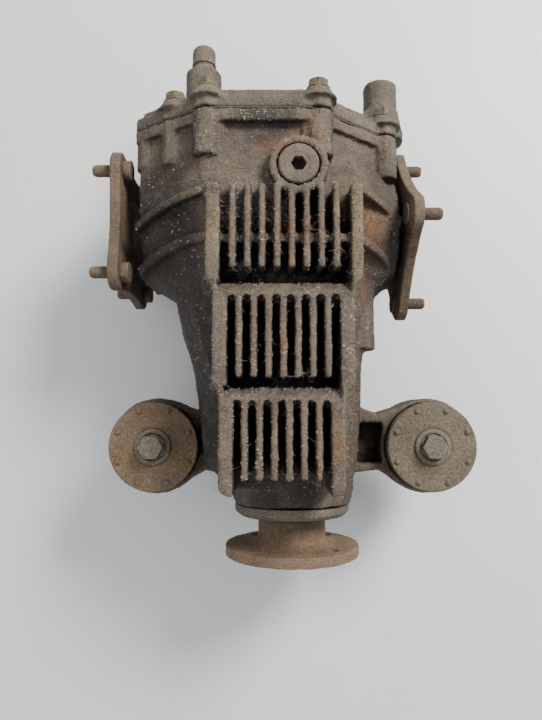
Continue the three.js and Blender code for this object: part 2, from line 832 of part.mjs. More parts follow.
function carrierHousing() {
  const joint = JOINT_CORNERS;
  const flange = loftAlongY([
    [JOINT_Y - FLANGE_DEEP, joint],
    [JOINT_Y, joint],
  ]);
  const rearRoom = loftAlongY([
    [5, inset(joint, 3)],
    [JOINT_Y - 1, inset(joint, 4)],
  ]);
  const bossRadius = 10.5;
  const bosses = COVER_BOLTS.map(([x, z]) =>
    drum(bossRadius, 36, JOINT_Y, Y_AXIS, [x, 0, z], COARSE),
  );
  const ears = EARS.map(([x, z]) => drum(EAR_R, 40, JOINT_Y, Y_AXIS, [x, 0, z], COARSE));
  const outside = join(
    turned(BARREL, X_AXIS, [0, 0, 0], FINE),
    rearRoom,
    nose(),
    finBlock(),
    shoulderRibs(),
    flange,
    arm(-1),
    arm(1),
    feet(),
    ...ears,
    drum(PLUG.boss, 60, PLUG.top - 1.5, Z_AXIS, [PLUG.x, PLUG.y, 0], MEDIUM),
    drum(FLANK.r, FLANK.from, FLANK.to, Y_AXIS, [FLANK.x, 0, FLANK.z], COARSE),
  );
  const opening = loftAlongY([
    [0, inset(joint, 8.8)],
    [JOINT_Y + 1, inset(joint, 8.8)],
  ]);
  const boreSeal = (axis, seat) =>
    drum(SEAL_OUT_R + GAP, seat - SEAL_WIDE - 2, seat + 4, axis, [0, 0, 0], MEDIUM);
  const sides = [
    boreSeal(X_AXIS.clone().negate(), -OUTPUTS.left.seat),
    boreSeal(X_AXIS, OUTPUTS.right.seat),
    drum(HUB_R + 4, -125, 95, X_AXIS, [0, 0, 0], MEDIUM),
  ];
  const noseBores = [
    drum(INNER_CUP.r + GAP, INNER_CUP.from - GAP, -40, Y_AXIS),
    drum(27, OUTER_CUP.from + 3, -100, Y_AXIS, [0, 0, 0], MEDIUM),
    drum(OUTER_CUP.r + GAP, NOSE_END - 5, OUTER_CUP.to + GAP, Y_AXIS),
  ];
  const relief = box(-51, 6, 50, JOINT_Y - FLANGE_DEEP, 77, 100);
  const behindJoint = box(-200, 200, JOINT_Y, 200, -120, 120);
  const plugSeat = [
    drum(PLUG.r + 1.3, 85, 120, Z_AXIS, [PLUG.x, PLUG.y, 0], MEDIUM),
    drum(10 + GAP, 40, 120, Z_AXIS, [PLUG.x, PLUG.y, 0], MEDIUM),
  ];
  const shell = cut(
    outside,
    turned(ROOM, X_AXIS, [0, 0, 0], FINE),
    opening,
    behindJoint,
    ...noseBores,
    relief,
    ...plugSeat,
  );
  const inside = join(shell, saddle(BEARINGS.left, 64), saddle(BEARINGS.right, 60), ...bosses);
  const eyes = [-1, 1].map((side) =>
    drum(BUSH.shellR, -60, 60, Z_AXIS, [side * BUSH.x, BUSH.y, 0], FINE),
  );
  const boltHoles = COVER_BOLTS.map(([x, z]) =>
    drum(COVER_BOLT_R + 0.4, 44, JOINT_Y + 1, Y_AXIS, [x, 0, z], SMALL),
  );
  return cut(inside, ...sides, ...eyes, ...boltHoles);
}

// ---------- rear cover ----------
function coverGasket() {
  const [front, back] = [JOINT_Y + GAP, JOINT_Y + GAP + GASKET];
  const sheet = loftAlongY([
    [front, JOINT_CORNERS],
    [back, JOINT_CORNERS],
  ]);
  const opening = loftAlongY([
    [front - 1, inset(JOINT_CORNERS, 18)],
    [back + 1, inset(JOINT_CORNERS, 18)],
  ]);
  const holes = COVER_BOLTS.map(([x, z]) => drum(COVER_BOLT_R + 0.6, 60, 80, Y_AXIS, [x, 0, z], SMALL));
  return cut(sheet, opening, ...holes);
}

const COVER_Y = JOINT_Y + GASKET + 2 * GAP;
const FILLER = { x: -18, z: 30, r: 9, seat: 102, socket: 10 };
const VENT = { x: -18, z: -52, r: 4, seat: 101 };

function rearCover() {
  const joint = JOINT_CORNERS;
  const pan = loftAlongY([
    [COVER_Y, joint],
    [COVER_Y + 8.5, joint],
    [COVER_Y + 9, inset(joint, 4)],
    [COVER_BACK, inset(joint, 5)],
    [COVER_BACK + 7, inset(joint, 16)],
    [COVER_BACK + 10, inset(joint, 30)],
  ]);
  const room = loftAlongY([
    [COVER_Y - 1, inset(joint, 11)],
    [COVER_BACK - 4, inset(joint, 13)],
    [COVER_BACK + 3, inset(joint, 26)],
  ]);
  const bosses = COVER_BOLTS.map(([x, z]) =>
    turned(
      [
        [0, COVER_Y],
        [11.5, COVER_Y],
        [8.8, COVER_BOSS_END],
        [0, COVER_BOSS_END],
      ],
      Y_AXIS,
      [x, 0, z],
      SMALL,
    ),
  );
  const rearBosses = Object.values(REAR_BOSSES).map(({ x, z, r, end }) =>
    turned(
      [
        [0, COVER_BACK - 6],
        [r + 5, COVER_BACK - 4],
        [r + 1, 108],
        [r, 112],
        [r, end],
        [0, end],
      ],
      Y_AXIS,
      [x, 0, z],
      MEDIUM,
    ),
  );
  const bracket = raised(
    shapeOf([
      [60, COVER_BACK - 4],
      [84, COVER_BACK - 8],
      [88, 112],
      [70, 112],
      [44, COVER_BACK + 6],
    ]),
    -16,
    12,
  );
  const bridge = box(REAR_BOSSES.left.x, REAR_BOSSES.right.x, COVER_BACK, 106, -3, 7);
  const ears = EARS.map(([x, z]) => drum(EAR_R, COVER_Y, COVER_Y + 8, Y_AXIS, [x, 0, z], COARSE));
  const filler = drum(18, COVER_BACK, FILLER.seat, Y_AXIS, [FILLER.x, 0, FILLER.z], MEDIUM);
  const vent = drum(8, COVER_BACK, VENT.seat, Y_AXIS, [VENT.x, 0, VENT.z], SMALL);
  const outside = join(pan, ...rearBosses, bracket, bridge, filler, vent);
  const whole = join(cut(outside, room), ...bosses, ...ears);
  const spotFaces = COVER_BOLTS.map(([x, z]) =>
    drum(11, COVER_BOSS_END, 110, Y_AXIS, [x, 0, z], COARSE),
  );
  const bossBores = Object.values(REAR_BOSSES).map(({ x, z, end, bore, depth }) =>
    drum(bore, end - depth, end + 5, Y_AXIS, [x, 0, z], SMALL),
  );
  const boltHoles = COVER_BOLTS.map(([x, z]) =>
    drum(COVER_BOLT_R + 0.6, 60, 100, Y_AXIS, [x, 0, z], SMALL),
  );
  return cut(
    whole,
    ...spotFaces,
    ...boltHoles,
    ...bossBores,
    drum(FILLER.r + GAP, 60, 110, Y_AXIS, [FILLER.x, 0, FILLER.z], COARSE),
    drum(VENT.r + GAP, 60, 110, Y_AXIS, [VENT.x, 0, VENT.z], SMALL),
  );
}

function coverBolt([x, z]) {
  const seat = COVER_BOSS_END + GAP;
  return turned(
    [
      [0, 46],
      [COVER_BOLT_R, 46],
      [COVER_BOLT_R, seat],
      [9, seat],
      [9, seat + 1.2],
      [hexR(14), seat + 2],
      [hexR(14), seat + 7],
      [0, seat + 7],
    ],
    Y_AXIS,
    [x, 0, z],
    6,
  );
}

function drainPlug() {
  const centre = [PLUG.x, PLUG.y, 0];
  const body = turned(
    [
      [0, 76],
      [9, 76],
      [10, 77.5],
      [10, 85.3],
      [PLUG.r, 85.3],
      [PLUG.r, PLUG.top - 1],
      [PLUG.r - 1, PLUG.top],
      [0, PLUG.top],
    ],
    Z_AXIS,
    centre,
    MEDIUM,
  );
  return cut(body, drum(hexR(PLUG.socket), PLUG.top - 8, PLUG.top + 5, Z_AXIS, centre, 6));
}

function fillerPlug() {
  const centre = [FILLER.x, 0, FILLER.z];
  const flat = FILLER.seat + GAP;
  const body = join(
    drum(FILLER.r, 92, flat + 1, Y_AXIS, centre, COARSE),
    drum(14, flat, flat + 6, Y_AXIS, centre, MEDIUM),
  );
  return cut(body, drum(hexR(FILLER.socket), flat - 3, flat + 10, Y_AXIS, centre, 6));
}

function breather() {
  const centre = [VENT.x, 0, VENT.z];
  return turned(
    [
      [0, 92],
      [VENT.r, 92],
      [VENT.r, VENT.seat + GAP],
      [6.5, VENT.seat + GAP],
      [6.5, 105],
      [5, 106],
      [9, 107],
      [9, 114],
      [7, 116],
      [0, 116],
    ],
    Y_AXIS,
    centre,
    SMALL,
  );
}

function rearMountStud() {
  const { x, z, end } = REAR_BOSSES.left;
  const seat = end + GAP;
  return turned(
    [
      [0, end - 28],
      [6, end - 28],
      [6, seat],
      [12.5, seat],
      [10.8, seat + 3.5],
      [9, seat + 4.5],
      [9, seat + 7.5],
      [10.3, seat + 8.5],
      [10.3, seat + 21],
      [8.8, seat + 23.5],
      [0, seat + 23.5],
    ],
    Y_AXIS,
    [x, 0, z],
    MEDIUM,
  );
}

// ---------- pinion line ----------
function companionFlange() {
  const back = FLANGE_FRONT + FLANGE_THICK;
  const body = turned(
    [
      [0, FLANGE_FRONT],
      [FLANGE_R, FLANGE_FRONT],
      [FLANGE_R, back],
      [NECK_R + 6, back],
      [NECK_R, back + 4],
      [NECK_R, NOSE_END - 13.5],
      [TAIL_R, NOSE_END - 13.5],
      [TAIL_R, NOSE_END + 21],
      [0, NOSE_END + 21],
    ],
    Y_AXIS,
    [0, 0, 0],
    FINE,
  );
  const pilot = drum(34, FLANGE_FRONT - 1, FLANGE_FRONT + 2.5, Y_AXIS, [0, 0, 0], FINE);
  const nutRoom = drum(21, FLANGE_FRONT - 1, FLANGE_FRONT + 13.5, Y_AXIS, [0, 0, 0], MEDIUM);
  const bore = drum(SPLINE_R + GAP, -280, NOSE_END + 25, Y_AXIS, [0, 0, 0], MEDIUM);
  const holes = [0, 1, 2, 3].map((i) => {
    const at = Math.PI / 4 + (i * Math.PI) / 2;
    const centre = [FLANGE_HOLE_CIRCLE * Math.cos(at), 0, FLANGE_HOLE_CIRCLE * Math.sin(at)];
    return drum(FLANGE_HOLE_R, -280, FLANGE_FRONT + 14, Y_AXIS, centre, COARSE);
  });
  return cut(body, pilot, nutRoom, bore, ...holes);
}

function dustDeflector() {
  return turned(
    [
      [TAIL_R + GAP, NOSE_END - 9.5],
      [TAIL_R + GAP, NOSE_END - 12.8],
      [30, NOSE_END - 12.8],
      [43, NOSE_END - 10],
      [46.5, NOSE_END - 7],
      [46.5, NOSE_END - 1],
      [43.5, NOSE_END - 1],
      [43.5, NOSE_END - 6.5],
      [40, NOSE_END - 9.5],
      [TAIL_R + GAP, NOSE_END - 9.5],
    ],
    Y_AXIS,
    [0, 0, 0],
    FINE,
  );
}

function pinionNut() {
  const from = FLANGE_FRONT + 3;
  const to = FLANGE_FRONT + 13.2;
  return cut(
    join(drum(hexR(30), from, to - 2, Y_AXIS, [0, 0, 0], 6), drum(18.5, to - 3, to, Y_AXIS)),
    drum(SHAFT_TIP_R + GAP, from - 10, to + 10, Y_AXIS, [0, 0, 0], COARSE),
  );
}

// ---------- mounting bush ----------
function bushPieces(side) {
  const { x, y, shellR } = BUSH;
  const centre = [side * x, y, 0];
  const plateBottom = BUSH_PLATE_TOP - 3.5;
  const shell = tube(shellR - GAP, shellR - 3, -30, 13, Z_AXIS, centre);
  const rubber = turned(
    [
      [14.4, -28],
      [30.8, -28],
      [30.8, 16],
      [20, 20.5],
      [14.4, 20.5],
      [14.4, -28],
    ],
    Z_AXIS,
    centre,
  );
  const { rOut, rIn, foot } = BUSH_SLEEVE;
  const sleeve = tube(rOut, rIn, foot, plateBottom - GAP, Z_AXIS, centre);
  const plate = tube(BUSH_PLATE_R, 7, plateBottom, BUSH_PLATE_TOP, Z_AXIS, centre, FINE);
  const seat = BUSH_PLATE_TOP + GAP;
  const head = side < 0 ? 12.5 : 9.5;
  const bolt = join(
    drum(6.2, -46, seat + 1, Z_AXIS, centre, 16),
    drum(14, seat, seat + 2.5, Z_AXIS, centre, MEDIUM),
    drum(hexR(17), seat, seat + head, Z_AXIS, centre, 6),
  );
  return { shell, rubber, sleeve, plate, bolt };
}

// ---------- put together ----------
add("carrier_housing", carrierHousing(), "casting");
add("rear_cover", rearCover(), "casting");
add("cover_gasket", coverGasket(), "gasket");
COVER_BOLTS.forEach((place, i) => add(`cover_bolt_${i + 1}`, coverBolt(place), "zinc"));
add("drain_plug", drainPlug(), "casting");
add("filler_plug", fillerPlug(), "zinc");
add("breather", breather(), "zinc");
add("rear_mount_stud", rearMountStud(), "zinc");

for (const name of ["left", "right"]) {
  const output = OUTPUTS[name];
  const axis = X_AXIS.clone().multiplyScalar(output.side);
  const span = BEARINGS[name];
  const seat = Math.abs(output.seat);
  const wide = name === "left" ? "to" : "from";
  const narrow = name === "left" ? "from" : "to";
  add(`bearing_cap_${name}`, bearingCap(span, CAP_FOOT[name]), "casting");
  const cup = bearingCup(BEARING_CUP_R, span[0], span[1], X_AXIS, wide);
  add(`side_bearing_cup_${name}`, cup, "steel");
  const inner = TRUNNION_R + 2 * GAP;
  const cone = bearingCone(inner, CONE_R, span[0] + 0.5, span[1] - 0.5, X_AXIS, narrow);
  add(`side_bearing_cone_${name}`, cone, "steel");
  add(
    `side_seal_${name}`,
    tube(SEAL_OUT_R, HUB_R + RUN, seat - SEAL_WIDE - 1, seat - 1, axis),
    "rubber",
  );
  add(`side_gear_${name}`, sideGear(output.side), "steel");
  add(`output_flange_${name}`, outputFlange(output), "rusty");
  studPlaces(output.turn).forEach((place, i) =>
    add(`${name}_stud_${i + 1}`, outputStud(output, place), "rusty"),
  );
  const { shell, rubber, sleeve, plate, bolt } = bushPieces(output.side);
  add(`bush_shell_${name}`, shell, "casting");
  add(`bush_rubber_${name}`, rubber, "rubber");
  add(`bush_sleeve_${name}`, sleeve, "steel");
  add(`bush_plate_${name}`, plate, "rusty");
  add(`bush_bolt_${name}`, bolt, "rusty");
}

add("diff_case", diffCase(), "casting");
add("ring_gear", ringGear(), "steel");
add("cross_pin", drum(CROSS_PIN_R, -43, 43, Z_AXIS, [DIFF_X, 0, 0], COARSE), "steel");
add("spider_gear_upper", spiderGear(1), "steel");
add("spider_gear_lower", spiderGear(-1), "steel");

add("drive_pinion", drivePinion(), "steel");
const pinionBearings = { inner: [INNER_CUP, 17.8, 29, "to"], outer: [OUTER_CUP, 14.3, 23.5, "from"] };
for (const [name, [{ r, from, to }, rIn, rOut, wide]] of Object.entries(pinionBearings)) {
  add(`pinion_bearing_cup_${name}`, bearingCup(r, from, to, Y_AXIS, wide), "steel");
  add(`pinion_bearing_cone_${name}`, bearingCone(rIn, rOut, from, to, Y_AXIS, wide), "steel");
}
add("crush_sleeve", tube(17, 14.3, OUTER_CUP.to + 0.5, -121, Y_AXIS, [0, 0, 0], MEDIUM), "steel");
add(
  "pinion_seal",
  tube(PINION_SEAL.r, TAIL_R + RUN, PINION_SEAL.from, PINION_SEAL.to, Y_AXIS, [0, 0, 0], MEDIUM),
  "rubber",
);
add("companion_flange", companionFlange(), "rusty");
add("dust_deflector", dustDeflector(), "casting");
add("pinion_nut", pinionNut(), "rusty");

// The origin is the middle of the underside of the bounding box.
const bounds = new THREE.Box3().setFromObject(assembly);
assembly.position.set(
  -(bounds.min.x + bounds.max.x) / 2,
  -(bounds.min.y + bounds.max.y) / 2,
  -bounds.min.z,
);

export default group;
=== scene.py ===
"""A worn rear-axle differential on a pale floor: cast housings, rusted flanges, rubber bushes.

Lengths are in millimetres about the point where the pinion axis crosses the axle, and at() takes
them into the frame's metres: +X right, +Y towards the rear cover, +Z up out of the fins.
"""

import json
import math
import random

import bmesh
import bpy
import numpy as np
from mathutils import Matrix, Vector, noise
from mathutils.bvhtree import BVHTree


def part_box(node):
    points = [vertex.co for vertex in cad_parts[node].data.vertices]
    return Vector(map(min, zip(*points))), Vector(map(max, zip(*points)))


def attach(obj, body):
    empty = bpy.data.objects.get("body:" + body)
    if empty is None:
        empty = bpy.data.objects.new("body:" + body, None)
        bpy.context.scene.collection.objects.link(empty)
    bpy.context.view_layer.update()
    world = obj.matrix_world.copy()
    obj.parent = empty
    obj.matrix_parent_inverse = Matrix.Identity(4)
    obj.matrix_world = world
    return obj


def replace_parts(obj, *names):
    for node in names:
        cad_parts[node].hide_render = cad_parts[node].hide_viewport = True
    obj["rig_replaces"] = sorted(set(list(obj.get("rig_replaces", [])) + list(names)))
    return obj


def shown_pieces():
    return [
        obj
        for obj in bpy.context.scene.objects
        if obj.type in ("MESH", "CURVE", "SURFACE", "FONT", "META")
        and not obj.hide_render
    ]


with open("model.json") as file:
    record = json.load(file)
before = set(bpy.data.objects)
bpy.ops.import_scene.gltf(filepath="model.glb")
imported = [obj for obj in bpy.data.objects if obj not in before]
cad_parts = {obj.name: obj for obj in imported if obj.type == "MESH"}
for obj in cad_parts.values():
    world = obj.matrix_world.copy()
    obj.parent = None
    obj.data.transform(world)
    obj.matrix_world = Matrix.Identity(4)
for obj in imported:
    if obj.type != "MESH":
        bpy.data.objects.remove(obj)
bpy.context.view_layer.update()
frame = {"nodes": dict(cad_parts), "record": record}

MM = 0.001


def middle(node):
    low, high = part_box(node)
    return (low + high) / 2


ORIGIN = Vector(
    (
        middle("companion_flange").x,
        middle("output_flange_right").y,
        middle("companion_flange").z,
    )
)


def at(x, y, z):
    return ORIGIN + Vector((x, y, z)) * MM


def local(node):
    """A node's box in millimetres about the origin."""
    low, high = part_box(node)
    return (low - ORIGIN) / MM, (high - ORIGIN) / MM


# ---------- camera, light and floor ----------
CAMERA_PLACE = (-17.1, -150.7, 480.4)
CAMERA_PITCH = math.radians(5.32)
CAMERA_LENS = 28.62  # mm on a 36 mm sensor


def add_camera():
    data = bpy.data.cameras.new("camera")
    data.lens = CAMERA_LENS
    data.sensor_width = 36
    data.clip_start = 0.01
    camera = bpy.data.objects.new("camera", data)
    camera.location = at(*CAMERA_PLACE)
    camera.rotation_euler = (CAMERA_PITCH, 0, 0)
    bpy.context.scene.collection.objects.link(camera)
    bpy.context.scene.camera = camera


def add_area_light(name, place, target, size, power, colour):
    data = bpy.data.lights.new(name, "AREA")
    data.shape = "DISK"
    data.size = size
    data.energy = power
    data.color = colour
    lamp = bpy.data.objects.new(name, data)
    lamp.location = place
    aim = Vector(target) - Vector(place)
    lamp.rotation_euler = aim.to_track_quat("-Z", "Y").to_euler()
    bpy.context.scene.collection.objects.link(lamp)


def add_lights():
    add_area_light("key_light", (0.85, 0.85, 1.15), (0, 0, 0.05), 0.62, 42, (1.0, 0.985, 0.96))
    add_area_light("fill_light", (-0.9, -0.5, 1.1), (0, 0, 0.05), 1.4, 5, (0.93, 0.96, 1.0))
    world = bpy.data.worlds.new("studio")
    world.use_nodes = True
    sky = world.node_tree.nodes["Background"]
    sky.inputs["Color"].default_value = (0.93, 0.96, 1.0, 1)
    sky.inputs["Strength"].default_value = 0.66
    bpy.context.scene.world = world


# ---------- materials ----------
class Paint:
    """A node material and short ways to wire it."""

    def __init__(self, name):
        self.material = bpy.data.materials.new(name)
        self.material.use_nodes = True
        self.nodes = self.material.node_tree.nodes
        self.links = self.material.node_tree.links
        self.shader = self.nodes["Principled BSDF"]
        self.place = self.nodes.new("ShaderNodeTexCoord").outputs["Object"]

    def wire(self, source, socket):
        if hasattr(source, "is_output"):
            self.links.new(source, socket)
        elif isinstance(source, tuple):
            socket.default_value = (*source, 1.0) if len(source) == 3 else source
        else:
            socket.default_value = source

    def noise(self, scale, detail=5.0, roughness=0.6, distortion=0.0, shift=0.0):
        node = self.nodes.new("ShaderNodeTexNoise")
        node.inputs["Scale"].default_value = scale
        node.inputs["Detail"].default_value = detail
        node.inputs["Roughness"].default_value = roughness
        node.inputs["Distortion"].default_value = distortion
        place = self.place
        if shift:
            move = self.nodes.new("ShaderNodeVectorMath")
            move.operation = "ADD"
            self.links.new(place, move.inputs[0])
            move.inputs[1].default_value = (shift, shift * 0.7, shift * 1.3)
            place = move.outputs["Vector"]
        self.links.new(place, node.inputs["Vector"])
        return node.outputs["Fac"]

    def cells(self, scale):
        node = self.nodes.new("ShaderNodeTexVoronoi")
        node.inputs["Scale"].default_value = scale
        self.links.new(self.place, node.inputs["Vector"])
        return node.outputs["Distance"]

    def step(self, value, low, high, start=0.0, end=1.0):
        """Runs from start at low to end at high, held flat outside."""
        node = self.nodes.new("ShaderNodeMapRange")
        node.clamp = True
        for key, number in (("From Min", low), ("From Max", high), ("To Min", start), ("To Max", end)):
            node.inputs[key].default_value = number
        self.links.new(value, node.inputs["Value"])
        return node.outputs["Result"]

    def maths(self, operation, first, second):
        node = self.nodes.new("ShaderNodeMath")
        node.operation = operation
        node.use_clamp = operation in ("MULTIPLY", "ADD", "SUBTRACT")
        self.wire(first, node.inputs[0])
        self.wire(second, node.inputs[1])
        return node.outputs["Value"]

    def blend(self, amount, first, second, mode="MIX"):
        node = self.nodes.new("ShaderNodeMix")
        node.data_type = "RGBA"
        node.blend_type = mode
        self.wire(amount, node.inputs["Factor"])
        self.wire(first, node.inputs[6])
        self.wire(second, node.inputs[7])
        return node.outputs[2]

    def mask(self, name):
        node = self.nodes.new("ShaderNodeAttribute")
        node.attribute_name = name
        return node.outputs["Fac"]

    def upward(self):
        geometry = self.nodes.new("ShaderNodeNewGeometry")
        split = self.nodes.new("ShaderNodeSeparateXYZ")
        self.links.new(geometry.outputs["Normal"], split.inputs["Vector"])
        return split.outputs["Z"]

    def edges(self):
        return self.nodes.new("ShaderNodeNewGeometry").outputs["Pointiness"]

    def near(self, place, radius, blur):
        """1 within radius of a place in metres, fading to 0 over blur."""
        node = self.nodes.new("ShaderNodeVectorMath")
        node.operation = "DISTANCE"
        self.links.new(self.place, node.inputs[0])
        node.inputs[1].default_value = place
        return self.step(node.outputs["Value"], radius, radius + blur, 1.0, 0.0)

    def relief(self, height, depth, normal=None):
        node = self.nodes.new("ShaderNodeBump")
        node.inputs["Strength"].default_value = 1.0
        node.inputs["Distance"].default_value = depth
        self.links.new(height, node.inputs["Height"])
        if normal is not None:
            self.links.new(normal, node.inputs["Normal"])
        return node.outputs["Normal"]

    def finish(self, colour, roughness, metallic, normal, specular=0.4):
        self.wire(colour, self.shader.inputs["Base Color"])
        self.wire(roughness, self.shader.inputs["Roughness"])
        self.wire(metallic, self.shader.inputs["Metallic"])
        self.wire(normal, self.shader.inputs["Normal"])
        self.shader.inputs["Specular IOR Level"].default_value = specular
        return self.material


# near-black for oil and road dirt, also used for painted shade and painted shadow
GRIME_AND_SHADE = (0.011, 0.0085, 0.0085)
DUST = (0.23, 0.19, 0.145)
RUST = (0.20, 0.075, 0.020)
DARK_RUST = (0.060, 0.028, 0.014)


def aged(name, light, dark, rust=0.3, grime_and_shade=0.6, dust=0.5, metal=0.15, grain=1.0, patches=(),
         baked=True, wear=0.5, sides=0.0, shadow_spots=()):
    """Old metal: two tones, rust in patches, oil and painted shade in the hollows, dust on top and worn
    edges.

    sides is how much darker the upright faces are painted than the tops, a painted shade.
    The last argument lists (place, radius, blur, strength) areas darkened as painted shadow.
    patches are (place, radius, blur, colour) areas; baked says that the piece carries the
    "open" mask, which is 1 in the open and 0 deep in a hollow.
    """
    p = Paint(name)
    broad = p.noise(22, 6, 0.62, 0.4)
    cloudy = p.noise(75, 6, 0.65, shift=3.1)
    fine = p.noise(420, 6, 0.7, shift=7.7)
    grit = p.noise(1300, 3, 0.6, shift=1.9)
    colour = p.blend(p.step(broad, 0.36, 0.64), dark, light)
    colour = p.blend(p.step(cloudy, 0.35, 0.7, 0.0, 0.55), colour, dark)
    # rust
    rust_area = p.maths("ADD", p.step(broad, 0.50, 0.72), p.step(cloudy, 0.48, 0.72, 0.0, 0.8))
    rust_fine = p.step(fine, 0.38, 0.60)
    rust_amount = p.maths("MULTIPLY", p.maths("MULTIPLY", rust_area, rust_fine), rust)
    colour = p.blend(rust_amount, colour, RUST)
    colour = p.blend(p.maths("MULTIPLY", p.step(grit, 0.50, 0.72), rust * 0.8), colour, DARK_RUST)
    for place, radius, blur, tint in patches:
        spot = p.maths("MULTIPLY", p.near(place, radius, blur), p.step(cloudy, 0.36, 0.60))
        spot = p.maths("MULTIPLY", spot, p.step(fine, 0.30, 0.62, 0.35, 1.0))
        colour = p.blend(spot, colour, tint)
    # speckle
    coarse = p.noise(620, 4, 0.65, 0.3, 12.5)
    fine_speckle = p.blend(p.step(grit, 0.34, 0.68), (0.40,) * 3, (1.6, 1.56, 1.5))
    colour = p.blend(0.9, colour, fine_speckle, "MULTIPLY")
    coarse_speckle = p.blend(p.step(coarse, 0.34, 0.66), (0.42,) * 3, (1.36, 1.33, 1.29))
    colour = p.blend(0.8, colour, coarse_speckle, "MULTIPLY")
    # bright, rubbed edges
    edge = p.maths("MULTIPLY", p.step(p.edges(), 0.515, 0.60), p.step(fine, 0.35, 0.65))
    colour = p.blend(p.maths("MULTIPLY", edge, wear), colour, (0.27, 0.225, 0.17))
    # dust lies on open, upward faces
    top = p.step(p.upward(), 0.25, 0.92)
    dusty = p.maths("MULTIPLY", top, p.step(p.noise(48, 7, 0.7, 0.6, 5.3), 0.34, 0.62))
    if baked:
        dusty = p.maths("MULTIPLY", dusty, p.step(p.mask("open"), 0.30, 0.75))
    dusty = p.maths("MULTIPLY", dusty, p.step(fine, 0.28, 0.66, 0.25, 1.0))
    colour = p.blend(p.maths("MULTIPLY", dusty, dust), colour, DUST)
    # oil and road dirt, with painted shade in the hollows and on upright faces, and painted shadow spots
    oil_and_shade = p.maths("MULTIPLY", p.step(p.noise(34, 7, 0.68, 0.8, 9.1), 0.40, 0.62), grime_and_shade * 0.8)
    if baked:
        # painted shade: near-black deep in hollows where the open mask is low, and the oil darker there too
        deep = p.step(p.mask("open"), 0.58, 0.20)
        deep = p.maths("MULTIPLY", deep, p.step(cloudy, 0.25, 0.55, 0.72, 1.0))
        shade = p.maths("MULTIPLY", oil_and_shade, p.step(p.mask("open"), 0.95, 0.45, 0.35, 1.0))
        oil_and_shade = p.maths("ADD", p.maths("MULTIPLY", deep, min(1.0, grime_and_shade * 1.5)), shade)
    # painted shade: upright faces darker than the tops
    if sides:
        upright = p.maths("MULTIPLY", p.step(p.upward(), 0.86, 0.30), p.step(cloudy, 0.22, 0.50, 0.55, 1.0))
        upright = p.maths("MULTIPLY", upright, p.step(coarse, 0.35, 0.70, 1.0, 0.55))
        oil_and_shade = p.maths("MAXIMUM", oil_and_shade, p.maths("MULTIPLY", upright, sides))
    # painted shadow: dark spots at the given places
    for place, radius, blur, strength in shadow_spots:
        shadow_spot = p.maths("MULTIPLY", p.near(place, radius, blur), p.step(cloudy, 0.22, 0.50, 0.45, 1.0))
        shadow_spot = p.maths("MULTIPLY", shadow_spot, p.step(coarse, 0.35, 0.70, 1.0, 0.7))
        oil_and_shade = p.maths("MAXIMUM", oil_and_shade, p.maths("MULTIPLY", shadow_spot, strength))
    # the near-black blend carries both the oil and the painted shade
    colour = p.blend(oil_and_shade, colour, GRIME_AND_SHADE)
    # relief and gloss
    normal = p.relief(p.noise(240, 6, 0.68, shift=2.2), 0.0013 * grain)
    normal = p.relief(coarse, 0.0009 * grain, normal)
    normal = p.relief(grit, 0.0006 * grain, normal)
    roughness = p.blend(oil_and_shade, p.blend(fine, (0.72,) * 3, (0.98,) * 3), (0.50, 0.50, 0.50))
    return p.finish(colour, roughness, metal, normal)


def rubber_material():
    p = Paint("rubber")
    broad = p.noise(40, 6, 0.65, 0.5)
    fine = p.noise(500, 5, 0.7, shift=4.0)
    colour = p.blend(p.step(broad, 0.35, 0.65), (0.012, 0.011, 0.014), (0.034, 0.030, 0.036))
    dusty = p.maths("MULTIPLY", p.step(p.upward(), 0.1, 0.9), p.step(fine, 0.38, 0.66))
    colour = p.blend(p.maths("MULTIPLY", dusty, 0.7), colour, (0.14, 0.12, 0.10))
    cracks = p.step(p.cells(260), 0.0, 0.10)
    normal = p.relief(p.maths("MULTIPLY", fine, cracks), 0.0006)
    return p.finish(colour, p.step(broad, 0.3, 0.7, 0.62, 0.92), 0.0, normal)


def oiled_steel_material():
    p = Paint("bearing_steel")
    broad = p.noise(60, 5, 0.6)
    marks = p.noise(900, 4, 0.6, shift=2.0)
    colour = p.blend(p.step(broad, 0.3, 0.7), (0.30, 0.27, 0.22), (0.47, 0.46, 0.44))
    colour = p.blend(p.step(marks, 0.55, 0.75, 0.0, 0.4), colour, (0.12, 0.09, 0.06))
    return p.finish(colour, p.step(broad, 0.3, 0.7, 0.22, 0.42), 0.9, p.relief(marks, 0.0001))


def fibre_material():
    p = Paint("gasket")
    weave = p.noise(700, 4, 0.7)
    colour = p.blend(p.step(weave, 0.35, 0.7), (0.045, 0.038, 0.032), (0.15, 0.13, 0.105))
    return p.finish(colour, p.step(weave, 0.3, 0.7, 0.8, 0.98), 0.0, p.relief(weave, 0.0003))


def dirt_material():
    p = Paint("road_dirt")
    broad = p.noise(90, 4, 0.6)
    grit = p.noise(1500, 3, 0.6, shift=6.0)
    colour = p.blend(p.step(broad, 0.38, 0.62), (0.045, 0.034, 0.027), (0.24, 0.20, 0.155))
    colour = p.blend(p.step(grit, 0.45, 0.7, 0.0, 0.8), colour, (0.36, 0.32, 0.26))
    return p.finish(colour, p.step(grit, 0.3, 0.7, 0.85, 1.0), 0.0, p.relief(grit, 0.0002))


def lint_material():
    p = Paint("lint")
    tone = p.noise(120, 3, 0.6)
    colour = p.blend(p.step(tone, 0.35, 0.65), (0.10, 0.08, 0.055), (0.34, 0.30, 0.24))
    return p.finish(colour, p.step(tone, 0.3, 0.7, 0.85, 1.0), 0.0, p.relief(tone, 0.0001))


